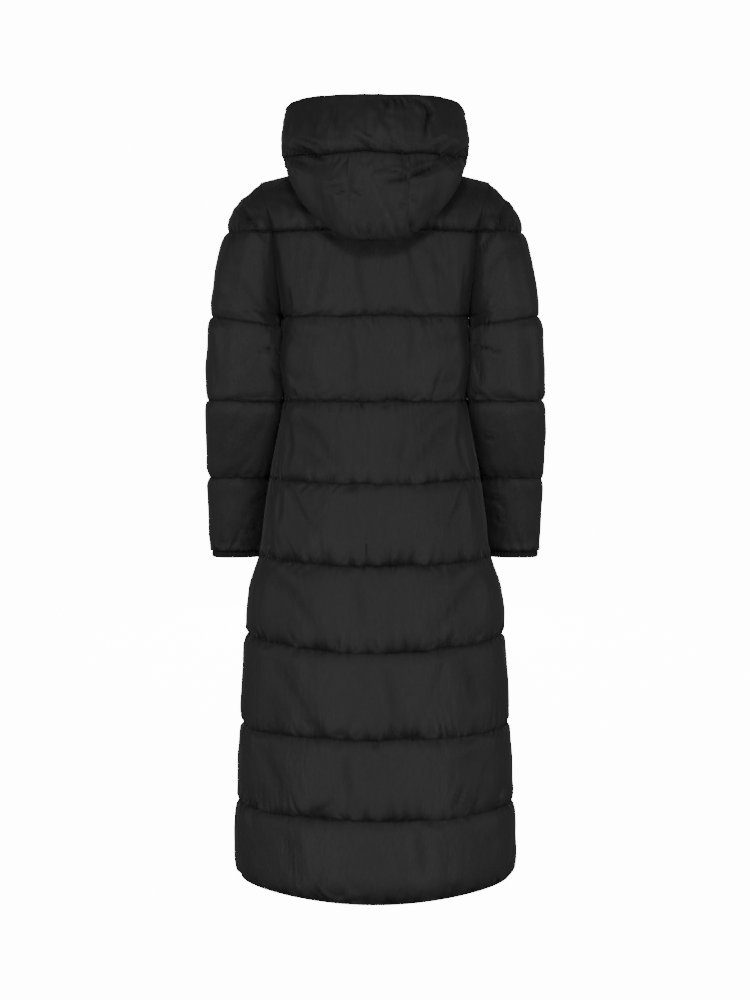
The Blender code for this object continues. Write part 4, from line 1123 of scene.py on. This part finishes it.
def crease(outside, normals, path, width, depth, facing):       # a fold along a path seen from one side
    here = outside[..., (0, 2)]
    nearest = np.full(here.shape[:2], 9.0)
    part = np.zeros(here.shape[:2])
    path = np.array(path)
    before = lineLengths(path)
    for number, (start, end) in enumerate(zip(path[:-1], path[1:])):
        length = before[number + 1] - before[number]
        share = np.clip((here - start) @ (end - start) / length ** 2, 0, 1)
        away = np.linalg.norm(here - start - share[..., None] * (end - start), axis=2)
        closer = away < nearest
        nearest = np.where(closer, away, nearest)
        part = np.where(closer, (before[number] + share * length) / before[-1], part)
    valley = np.exp(-(nearest / width) ** 2)
    fromBank = (nearest - folding["bankPlace"] * width) / (folding["bankWidth"] * width)
    shape = valley - folding["bank"] * np.exp(-fromBank ** 2)
    return depth * humped(part, folding["taper"]) * shape * (normals[..., 1] * facing > folding["edgeOn"])


creases = {                             # a path of (x, z), then width and depth, all in millimetres
    "back_panel": [
        ([(146, -777), (140, -787), (134, -799)], 3.5, 3.5),
        ([(2, -790), (-7, -813)], 3.5, 2.8),
        ([(-132, -778), (-121, -801)], 3.5, 3.2),
        ([(-151, -1036), (-140, -1058), (-131, -1074)], 3.5, 3.5),
        ([(144, -532), (116, -588), (96, -606)], 3.5, 3),
        ([(158, -540), (161, -600)], 4, 2.6),
        ([(172, -540), (180, -588)], 5, 2.4),
        ([(-149, -535), (-136, -572), (-121, -605)], 4, 3),
        ([(-163, -540), (-172, -598)], 4.5, 2.4),
        ([(-112, -338), (-107, -350), (-95, -389)], 3, 3),
        ([(145, -205), (140, -249)], 4, 3.4),
        ([(-150, -170), (-146, -240)], 4, 2.6),
        ([(76, -150), (86, -200), (98, -248)], 8, 1.7),
        ([(34, -135), (26, -190), (15, -240)], 8, 1.8),
        ([(-50, -130), (-68, -190), (-86, -250)], 7, 1.8),
        ([(-90, -135), (-112, -190)], 7, 1.6),
        ([(44, -262), (32, -330), (36, -380)], 8, 1.6),
        ([(-62, -262), (-56, -330)], 7, 1.6),
        ([(130, -420), (96, -448), (64, -500)], 8.5, 2.4),
        ([(120, -470), (80, -510)], 7, 1.8),
        ([(-128, -425), (-100, -455), (-66, -500)], 9, 2.2),
        ([(-50, -440), (-40, -500)], 7, 1.6),
        ([(148, -405), (139, -470), (150, -515)], 4.5, 3),
        ([(-146, -405), (-140, -460), (-152, -515)], 4.5, 3),
        ([(170, -680), (130, -720), (95, -770)], 10, 2.4),
        ([(-172, -685), (-135, -730), (-100, -775)], 10, 2.4),
        ([(30, -690), (20, -760)], 9, 1.6),
        ([(165, -830), (120, -900), (100, -945)], 11, 2.4),
        ([(-150, -830), (-165, -900)], 10, 2.4),
        ([(-20, -840), (-35, -930)], 10, 1.8),
        ([(190, -975), (160, -1030), (150, -1080)], 11, 2.4),
        ([(50, -990), (40, -1060)], 10, 1.8),
        ([(-70, -1110), (-80, -1180)], 11, 2),
        ([(150, -1110), (130, -1190)], 11, 2.2),
    ],
    "sleeve_left": [
        ([(236, -58), (205, -95), (183, -122)], 5, 4.2),
        ([(196, -310), (178, -309), (160, -314)], 3.2, 4.8),
        ([(177, -341), (162, -360)], 3.2, 4),
        ([(186, -222), (168, -240)], 4.5, 2.6),
        ([(245, -180), (220, -200), (195, -235)], 8, 1.8),
        ([(275, -300), (262, -370)], 10, 1.8),
        ([(190, -430), (214, -470)], 6, 2.6),
        ([(192, -560), (216, -575)], 4, 3),
        ([(200, -610), (226, -625)], 5, 2.8),
    ],
    "sleeve_right": [
        ([(-222, -52), (-206, -100), (-176, -146)], 5, 4.2),
        ([(-240, -135), (-212, -152), (-186, -185)], 8, 2.2),
        ([(-168, -303), (-186, -306), (-210, -311)], 3.2, 4.8),
        ([(-166, -380), (-180, -388)], 3.6, 4.4),
        ([(-172, -330), (-178, -360)], 4, 2.6),
        ([(-182, -452), (-204, -460)], 4, 3.2),
        ([(-190, -560), (-220, -570)], 4, 3),
        ([(-196, -590), (-224, -606)], 4.5, 3),
        ([(-255, -290), (-262, -370)], 10, 1.8),
    ],
    "hood": [
        ([(-22, -37), (-49, -33), (-74, -20), (-103, -8)], 4.8, 7.5),
        ([(-30, -22), (-50, -26), (-62, -34)], 3.5, 3.2),
        ([(-55, -20), (-88, 0)], 6, 3),
        ([(33, 38), (15, 24), (-3, 14)], 3.6, 4.2),
        ([(-16, 104), (-21, 89)], 3.4, 4.2),
        ([(-31, 104), (-37, 88)], 3.4, 4),
        ([(-41, 104), (-48, 86)], 3.4, 3.4),
        ([(-66, 101), (-82, 93), (-90, 80), (-84, 58), (-82, 36)], 4.6, 5.2),
        ([(-94, 92), (-84, 70)], 3.6, 3),
        ([(148, 24), (115, 17), (87, 6)], 4.2, 5.6),
        ([(134, 30), (94, 11)], 4.2, 4.6),
        ([(120, 34), (80, 20)], 4.2, 2.6),
        ([(140, 12), (110, -12)], 5, 3),
        ([(-98, 0), (-133, 29)], 4, 5),
        ([(-113, 0), (-150, 23)], 4, 4.4),
        ([(-88, 14), (-112, 34)], 4, 3.4),
        ([(79, -46), (48, -41)], 3.8, 2.8),
        ([(63, -56), (43, -50)], 3.6, 3.6),
        ([(42, -50), (24, -58)], 3.6, 3.4),
        ([(40, -26), (41, -52)], 4, 3),
        ([(-40, -80), (-52, -71)], 3.6, 3.2),
        ([(-52, -60), (-69, -69)], 3.6, 3.4),
        ([(-50, 6), (-52, -18)], 4, 2.8),
        ([(-55, -92), (-61, -120)], 3.8, 4.6),
        ([(100, -8), (91, -60), (70, -106)], 11, 2.6),
        ([(-108, -30), (-96, -70), (-78, -100)], 10, 2.2),
        ([(72, 88), (60, 48)], 8, 2.6),
        ([(110, 80), (98, 40)], 8, 2.2),
        ([(-26, 30), (-50, 8)], 6, 2.6),
        ([(30, -108), (24, -122)], 3.4, 2.6),
        ([(8, -110), (11, -123)], 3.4, 3),
        ([(-14, -108), (-12, -122)], 3.4, 2.6),
        ([(-32, -110), (-38, -122)], 3.4, 2.8),
    ],
}


def straySlants(panel, random, count, facing):  # creases for the sides that no list describes
    low, high = panel["points"].min(axis=(0, 1)), panel["points"].max(axis=(0, 1))
    under, over = folding["margins"]
    made = []
    for number in range(count):
        x, z = random.uniform(low[0], high[0]), random.uniform(low[2] + under, high[2] - over)
        length, slant, width, depth = (random.uniform(*folding[part])
                                       for part in ("length", "slant", "width", "depth"))
        path = [(x, z), (x + slant * length * 0.6, z - length * 0.6),
                (x + slant * length * 1.5, z - length)]
        made.append((path, width, depth, facing))
    return made


def creased(name, outside, random):     # depth of all creases of a panel, and of their valleys alone
    panel = panels[name]
    folds = [(np.array(path) / 1000, width / 1000, depth / 1000, 1)
             for path, width, depth in creases.get("hood" if "hood" in name else name, [])]
    folds += straySlants(panel, random, folding["counts"].get(name, 0), -1)
    depths, valleys = np.zeros(outside.shape[:2]), np.zeros(outside.shape[:2])
    for fold in folds:
        depth = crease(outside, panel["normals"], *fold) * panel["side"]
        depths = depths + depth
        valleys = valleys + np.maximum(depth, 0)
    return depths, valleys


def gatherShade(panel, outside, valleys, random):       # 1 where shade is painted into the cloth's colour: beside the quilt lines, at the hood's seams and in the bottoms of creases
    below, above = fromLines(panel, outside)[:2]
    shade = np.exp(-np.minimum(below, above) / gathers["seamShade"])
    if panel["quilted"]:
        along = columnPlaces(panel["points"])[None, :] + 0 * above
        spread = panel.get("shade", gathers["shade"])
        ragged = 1 + mixedWaves(random, along, gathers["raggedWaves"])
        reach = toSkirt(spread, panel["place"], 4)[:, None] * np.clip(ragged, 0.3, 2)
        shade = np.maximum(np.exp(-(above / reach) ** gathers["shadePower"]),
                           gathers["shadeBelow"] * np.exp(-below / spread[0]))
    valleys = np.minimum(valleys / gathers["valleyDepth"], 1)
    return np.maximum(shade, gathers["valleyShade"] * valleys)


def finishPanel(name, outside, random):
    panel = panels[name]
    outside, depth, sag = gatherPanel(panel, outside, random)
    depths, valleys = creased(name, outside, random)
    depth = depth + depths
    lost, span = filling["streakFade"]
    streaks = lumpField(random, depth.shape, filling["streakSpans"]) * filling["streaks"]
    if panel["quilted"]:
        fade = 1 - lost * smoothStep(panel["place"] / span)[:, None]
        depth = depth + streaks * fade * channelSwell(panel["place"])[:, None] * panel["side"]
    before = ((outside - panel["lining"]) * panel["normals"]).sum(axis=2)
    line = np.minimum(panel["line"], before)
    swell = line + (before - line) * (1 - sag)
    least = np.minimum(panel.get("least", coat["leastWall"]), panel["room"])
    wanted = np.clip(swell - depth, least, panel["room"] + panel["over"])
    free = panel["side"] > 1e-9
    free[[0, -1]] = False
    # mask of the shade painted into the cloth's colour, which also places the puckers
    shade = gatherShade(panel, outside, valleys, random)
    shaped = outside + panel["normals"] * ((wanted - before) * free)[..., None]
    if not panel["quilted"]:            # the seam to the band waves up and down
        away = (shaped[..., 2] - hood["waveHeight"]) / hood["waveReach"]
        wave = np.interp(shaped[..., 0], *np.array(hood["wave"]).T)
        shaped[..., 2] += wave * np.exp(-away ** 2) * (shaped[..., 1] > 0)
    return shaped, shade


panels = bodyPanels()
panels.update(hoodPanels())
for part in ("front", "sleeve"):
    panels[part + "_right"] = mirrorPanel(panels[part + "_left"])
randoms = {name: np.random.default_rng(11 + number) for number, name in enumerate(panels)}
filled = {name: startShape(panel, randoms[name]) for name, panel in panels.items()}
filled = fillPanels(filled)
print("padded cloth filled")
outsides = {}
for name, panel in panels.items():
    outside, gatherAndPaintedShade = finishPanel(name, filled[name], randoms[name])
    outsides[name] = outside
    piece = gridMesh(name + "_cloth", panel, outside, gatherAndPaintedShade)
    piece.data.materials.append(shellCloth)
    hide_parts(name)
    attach(piece, "coat")
print("padded panels made")


cuffs = {
    "columns": 360,
    "rows": 12,
    "gathers": 46,          # pleats round the elastic
    "wander": (1.5, 5),     # how far the pleats stray, in radians, and how often
    "gatherHeight": 0.0007,
    "edge": 0.5,            # how round the edges are, 0 for square
    "drop": 0.0006,
    "stretched": 1.15,      # the binding's length before it was gathered, against the wrist
}


def makeCuff(side):                     # a gathered elastic binding round the wrist
    arm = panels["sleeve_" + side]
    share = np.arange(cuffs["columns"] + 1) / cuffs["columns"]
    marks = np.arange(arm["lining"].shape[1])
    wrist = pointsAt(share * marks[-1], marks, arm["lining"][-1])
    out = toUnit(pointsAt(share * marks[-1], marks, arm["normals"][-1]) * np.array((1, 1, 0)))
    steps = np.linspace(0, 1, cuffs["rows"] + 1)
    drop = cuffs["drop"] + sleeve["cuffDepth"] * steps
    points = wrist[None] - drop[:, None, None] * np.array((0, 0, 1))
    normals = np.tile(out, (len(steps), 1, 1))
    angle = share * 2 * math.pi
    stray, often = cuffs["wander"]
    pleats = np.sin(angle * cuffs["gathers"] + stray * np.sin(angle * often))
    thickness = sleeve["cuffWall"] - cuffs["gatherHeight"] + cuffs["gatherHeight"] * pleats[None, :]
    thickness = thickness * humped(steps, cuffs["edge"])[:, None]
    weld = np.arange(thickness.size).reshape(thickness.shape)
    weld[:, -1] = weld[:, 0]
    panel = {"points": points, "normals": normals, "lining": points, "sign": arm["sign"],
             "weld": weld.ravel()}
    piece = gridMesh("cuff_" + side + "_binding", panel, points + normals * thickness[..., None])
    piece.data.materials.append(bindingCloth)
    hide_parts("cuff_" + side)
    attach(piece, "coat")


makeCuff("left")
makeCuff("right")
print("cuffs made")

zipper = {                              # lengths in metres, in the zip's own plane
    "tapeSide": 0.0119,
    "tapeMiddle": 0.0002,
    "tapeColumns": 5,
    "tapeWall": 0.0012,
    "cord": 1.5,            # how much thicker the edge is that carries the teeth
    "pitch": 0.0030,
    "tooth": (0.0032, 0.0018, 0.0017),  # across, high, along
    "toothEdge": 0.0004,
    "toothTip": (0.0012, 0.72),     # where the tooth narrows, and to what share
    "toothSunk": 0.0003,
    "toothMiddle": 0.0011,
    "sliderStep": 0.45,     # place of the slider between the neckline and the yoke line
    "chainWall": 0.0032,
    "gap": 0.0003,
    "slider": (0.0090, 0.0030, 0.0120),
    "sliderEdge": 0.0008,
    "nose": (0.3, 0.66),    # share of its height below which it narrows, and to what share
    "face": (0.0009, 0.0004),       # rim round its hollow face, and how hollow
    "lug": (0.0012, 0.0042, 0.0040),
    "lugEdge": 0.00035,
    "lugSunk": 0.0006,
    "lugSpread": 0.0030,
    "pinRadius": 0.0007,
    "pinHeight": 0.0030,
    "eye": (0.00155, 0.00045),      # radius of the ring and of its wire
    "eyeWidth": 2.4,
    "pull": (0.0042, 0.0014, 0.0240),
    "pullStart": 0.0014,
    "pullEdge": 0.0005,
    "pullFace": (0.0007, 0.62),     # rim round its hollow faces, and their share of the thickness
}
zipSide = panels["front_left"]
zipBase, zipOut = zipSide["lining"][:, -1].copy(), zipSide["normals"][:, -1].copy()


def makeTape(side):                     # a strip between the teeth and the edge of the front
    across = np.linspace(zipper["tapeSide"], zipper["tapeMiddle"], zipper["tapeColumns"] + 1)
    points = np.repeat(zipBase[:, None, :], len(across), axis=1)
    points[..., 0] = across
    normals = np.repeat(zipOut[:, None, :], len(across), axis=1)
    panel = {"points": points, "normals": normals, "lining": points, "sign": -1,
             "weld": np.arange(points.shape[0] * points.shape[1])}
    wall = np.full(points.shape[:2], zipper["tapeWall"])
    wall[:, -1] *= zipper["cord"]
    outside = points + normals * wall[..., None]
    if side == "right":
        panel = mirrorPanel(panel)
        outside = outside * toOtherSide
    piece = gridMesh("zip_tape_" + side, panel, outside)
    piece.data.materials.append(zipTape)
    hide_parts("zip_chain")
    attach(piece, "coat")


def onlySelected(piece):
    bpy.ops.object.select_all(action="DESELECT")
    piece.select_set(True)
    bpy.context.view_layer.objects.active = piece


def block(name, size, place, edge, segments=2):         # a box with rounded edges, at its place
    bpy.ops.mesh.primitive_cube_add(size=1, location=place, scale=size)
    made = bpy.context.object
    made.name = name
    onlySelected(made)
    bpy.ops.object.transform_apply(location=True, rotation=True, scale=True)
    bpy.ops.object.mode_set(mode="EDIT")
    bpy.ops.mesh.select_all(action="SELECT")
    bpy.ops.mesh.bevel(offset=edge, segments=segments, affect="EDGES")
    bpy.ops.object.mode_set(mode="OBJECT")
    return made


def selectFaces(piece, wanted):         # faces are selected by their middle and normal
    onlySelected(piece)
    bpy.ops.object.mode_set(mode="EDIT")
    bpy.ops.mesh.select_mode(type="FACE")
    bpy.ops.mesh.select_all(action="DESELECT")
    bpy.ops.object.mode_set(mode="OBJECT")
    for face in piece.data.polygons:
        face.select = bool(wanted(face.center, face.normal))
    bpy.ops.object.mode_set(mode="EDIT")


def joined(name, pieces):
    onlySelected(pieces[0])
    for piece in pieces[1:]:
        piece.select_set(True)
    bpy.ops.object.join()
    made = bpy.context.object
    made.name = name
    made.data.name = name
    onlySelected(made)
    bpy.ops.object.shade_smooth_by_angle(angle=math.radians(40))
    return made


def makeTeeth():                        # one tooth, then its copies along the tape on either side
    tooth = block("tooth", zipper["tooth"], (0, 0, 0), zipper["toothEdge"], 1)
    tip, narrow = zipper["toothTip"]
    selectFaces(tooth, lambda centre, normal: centre.x < -tip)
    bpy.ops.transform.resize(value=(1, 1, narrow), center_override=(0, 0, 0))
    bpy.ops.object.mode_set(mode="OBJECT")
    corners = np.array([vertex.co for vertex in tooth.data.vertices])
    faces = [list(face.vertices) for face in tooth.data.polygons]
    bpy.data.objects.remove(tooth)
    arc = lineLengths(zipBase)
    spots = np.arange(zipper["pitch"], arc[-1] - zipper["pitch"], zipper["pitch"] / 2)
    base, out = pointsAt(spots, arc, zipBase), toUnit(pointsAt(spots, arc, zipOut))
    down = np.stack((0 * spots, -out[:, 2], out[:, 1]), axis=-1)
    lift = zipper["tapeWall"] + zipper["tooth"][1] / 2 - zipper["toothSunk"]
    for side, first, sign in (("left", 0, 1), ("right", 1, -1)):
        points, allFaces = [], []
        for number in range(first, len(spots), 2):
            middle = base[number] + out[number] * lift
            middle = middle + np.array((sign * zipper["toothMiddle"] - base[number][0], 0, 0))
            start = len(points) * len(corners)
            allFaces += [[start + index for index in face[::sign]] for face in faces]
            points.append(middle + corners[:, :1] * np.array((sign, 0, 0))
                          + corners[:, 1:2] * out[number] + corners[:, 2:] * down[number])
        piece = newObject("zip_teeth_" + side, np.concatenate(points), allFaces)
        piece.data.materials.append(zipTeeth)
        onlySelected(piece)
        bpy.ops.object.mode_set(mode="EDIT")
        bpy.ops.mesh.select_all(action="SELECT")
        bpy.ops.mesh.normals_make_consistent(inside=False)
        bpy.ops.object.mode_set(mode="OBJECT")
        bpy.ops.object.shade_smooth_by_angle(angle=math.radians(35))
        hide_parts("zip_chain")
        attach(piece, "coat")


def rodAcross(name, radius, width, place):
    bpy.ops.mesh.primitive_cylinder_add(vertices=20, radius=radius, depth=width, location=place,
                                        rotation=(0, math.pi / 2, 0))
    made = bpy.context.object
    made.name = name
    onlySelected(made)
    bpy.ops.object.transform_apply(location=True, rotation=True, scale=True)
    return made


def makeSliderBody(face, pinY):         # its front lies at y = face, and the pin stands off it
    thick, tall = zipper["slider"][1:]
    body = block("sliderBody", zipper["slider"], (0, face + thick / 2, 0), zipper["sliderEdge"], 3)
    below, narrow = zipper["nose"]
    selectFaces(body, lambda centre, normal: centre.z < -tall * below)
    bpy.ops.transform.resize(value=(narrow, 1, 1), center_override=(0, face, 0))
    bpy.ops.object.mode_set(mode="OBJECT")
    selectFaces(body, lambda centre, normal: normal.y < -0.99)
    bpy.ops.mesh.inset(thickness=zipper["face"][0])
    bpy.ops.transform.translate(value=(0, zipper["face"][1], 0))
    bpy.ops.object.mode_set(mode="OBJECT")
    lugY = face - zipper["lug"][1] / 2 + zipper["lugSunk"]
    lugs = [block("lug", zipper["lug"], (side * zipper["lugSpread"], lugY, 0), zipper["lugEdge"])
            for side in (-1, 1)]
    pin = rodAcross("pin", zipper["pinRadius"], 2 * zipper["lugSpread"], (0, pinY, 0))
    return joined("zip_slider_body", [body, *lugs, pin])


def makePullTab():                      # a blade that hangs from a ring round the pin
    bpy.ops.mesh.primitive_torus_add(major_radius=zipper["eye"][0], minor_radius=zipper["eye"][1],
                                     major_segments=28, minor_segments=10,
                                     rotation=(0, math.pi / 2, 0))
    eye = bpy.context.object
    onlySelected(eye)
    bpy.ops.object.transform_apply(location=True, rotation=True, scale=True)
    eye.data.transform(Matrix.Diagonal((zipper["eyeWidth"], 1, 1, 1)))
    middle = -zipper["pullStart"] - zipper["pull"][2] / 2
    blade = block("blade", zipper["pull"], (0, 0, middle), zipper["pullEdge"], 3)
    selectFaces(blade, lambda centre, normal: abs(normal.y) > 0.99)
    rim, thin = zipper["pullFace"]
    bpy.ops.mesh.inset(thickness=rim, use_individual=True)
    bpy.ops.transform.resize(value=(1, thin, 1), center_override=(0, 0, middle))
    bpy.ops.object.mode_set(mode="OBJECT")
    return joined("zip_pull_tab", [blade, eye])


def makeSlider():                       # body and pull, laid against the chain between the fronts
    row, rows = zipper["sliderStep"] * coat["shoulderRows"], np.arange(len(zipBase))
    base, away = pointsAt(row, rows, zipBase), toUnit(pointsAt(row, rows, zipOut))
    seat = Vector((0, base[1], base[2])) + Vector(away) * zipper["chainWall"]
    tilt = Matrix.Rotation(math.atan2(-away[2], -away[1]), 4, "X")
    face = -zipper["gap"] - zipper["slider"][1]
    pinY = face - zipper["pinHeight"]
    slider = makeSliderBody(face, pinY)
    slider.data.transform(Matrix.Translation(seat) @ tilt)
    pull = makePullTab()
    hinge = seat + tilt.to_3x3() @ Vector((0, pinY, 0))
    pull.data.transform(Matrix.Translation(hinge) @ tilt)
    for piece, node, body in ((slider, "zip_slider", "coat"), (pull, "zip_pull", "zip_pull")):
        piece.data.materials.clear()
        piece.data.materials.append(zipMetal)
        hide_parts(node)
        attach(piece, body)


makeTape("left")
makeTape("right")
makeTeeth()
makeSlider()
print("zip made")

seams = {                               # lockstitch along the quilt lines
    "pitch": 0.0042,
    "stitch": 0.0032,
    "radius": 0.00032,
    "sides": 5,
    "rings": ((-0.0001, 0.7), (0.00025, 1.0), (-0.0001, 0.7)),      # lift and thickness at end, top, end
    "margins": (0.003, 0.006),      # room left at the start and the end of a line
    "shortest": 0.02,       # a line shorter than this has none
}


def oneStitch(start, arc, track, out):  # three rings of points, from end to end
    at = start + np.array((0, 0.5, 1)) * seams["stitch"]
    spots, sides = pointsAt(at, arc, track), toUnit(pointsAt(at, arc, out))
    way = toUnit(spots[-1] - spots[0])
    around = np.arange(seams["sides"]) / seams["sides"] * 2 * math.pi
    rings = []
    for spot, side, (lift, size) in zip(spots, sides, seams["rings"]):
        ring = np.cos(around)[:, None] * side + np.sin(around)[:, None] * np.cross(way, side)
        rings.append(spot + side * lift + size * seams["radius"] * ring)
    return np.concatenate(rings)


def makeStitches():                     # one short thread laid again and again in the lines
    count = seams["sides"]
    pattern = [[low + step, low + (step + 1) % count, low + count + (step + 1) % count,
                low + count + step] for low in (0, count) for step in range(count)]
    pattern += [list(range(count))[::-1], list(range(2 * count, 3 * count))]
    points, faces = [], []
    for name, panel in panels.items():
        for mark in lineRows(panel)[1:-1] if panel["quilted"] else []:
            track, out = outsides[name][mark], panel["normals"][mark]
            arc = lineLengths(track)
            if arc[-1] < seams["shortest"]:
                continue
            before, after = seams["margins"]
            for start in np.arange(before, arc[-1] - after, seams["pitch"]):
                first = len(points) * 3 * count
                faces += [[first + index for index in face] for face in pattern]
                points.append(oneStitch(start, arc, track, out))
    piece = newObject("quilt_stitches", np.concatenate(points), faces)
    piece.data.shade_smooth()
    piece.data.materials.append(thread)
    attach(piece, "coat")


makeStitches()
print("stitches made")

studio = {
    "cameraPlace": (0.0, 4.0, -0.31),
    "pitch": 3.69,
    "lens": 83.7,
    "floor": -1.33,
    "lights": [             # place, size, strength
        ((0.0, 5.4, -0.8), 1.6, 19),
        ((-2.2, 4.2, -2.3), 1.8, 58),
        ((2.2, 4.2, -2.3), 1.8, 58),
        ((-2.0, 5.0, -0.5), 1.2, 22),
        ((2.0, 5.0, -0.5), 1.2, 22),
        ((0.2, 5.0, 3.2), 1.4, 140),
        ((-3.2, 4.2, -1.1), 1.2, 39),
        ((3.2, 4.2, -1.1), 1.2, 39),
        ((-3.8, 0.4, -0.4), 1.6, 32),
        ((3.8, 0.4, -0.4), 1.6, 32),
        ((0.0, -5.4, -0.3), 2.0, 300),
    ],
    "aim": (0, 0, -0.6),
    "sky": 0.09,
    "backdrop": 14.0,       # how bright the paper round the coat is, for the camera alone
    "floorSize": 12,
    "backdropRadius": 9,
}
camera = bpy.data.objects.new("camera", bpy.data.cameras.new("camera"))
scene.collection.objects.link(camera)
camera.location = studio["cameraPlace"]
camera.rotation_euler = (math.radians(90 - studio["pitch"]), 0, math.pi)
camera.data.sensor_fit = "VERTICAL"
camera.data.sensor_height = 36
camera.data.lens = studio["lens"]
scene.camera = camera
for number, (place, size, strength) in enumerate(studio["lights"]):
    lamp = bpy.data.objects.new("softLight%d" % number, bpy.data.lights.new("softLight", "AREA"))
    scene.collection.objects.link(lamp)
    lamp.data.shape = "DISK"
    lamp.data.size = size
    lamp.data.energy = strength
    lamp.location = place
    aim = Vector(studio["aim"]) - Vector(place)
    lamp.rotation_euler = aim.to_track_quat("-Z", "Y").to_euler()
world = bpy.data.worlds.new("studio")
scene.world = world
world.use_nodes = True
sky = world.node_tree.nodes["Background"]
sky.inputs["Color"].default_value = (1, 1, 1, 1)
sky.inputs["Strength"].default_value = studio["sky"]
bpy.ops.object.select_all(action="DESELECT")
bpy.ops.mesh.primitive_plane_add(size=studio["floorSize"], location=(0, 0, studio["floor"]))
floor = bpy.context.object
floor.name = "floor"
bpy.ops.mesh.primitive_uv_sphere_add(segments=48, ring_count=24, radius=studio["backdropRadius"])
backdrop = bpy.context.object
backdrop.name = "backdrop"
glow = makeMaterial("paleBackdrop", (0, 0, 0), 1.0, Emission_Color=(1, 1, 1, 1),
                    Emission_Strength=studio["backdrop"])[0]
for piece in (floor, backdrop):         # pale for the camera alone, so the light stays the lamps'
    piece.data.materials.append(glow)
    for ray in ("diffuse", "glossy", "transmission", "volume_scatter", "shadow"):
        setattr(piece, "visible_" + ray, False)
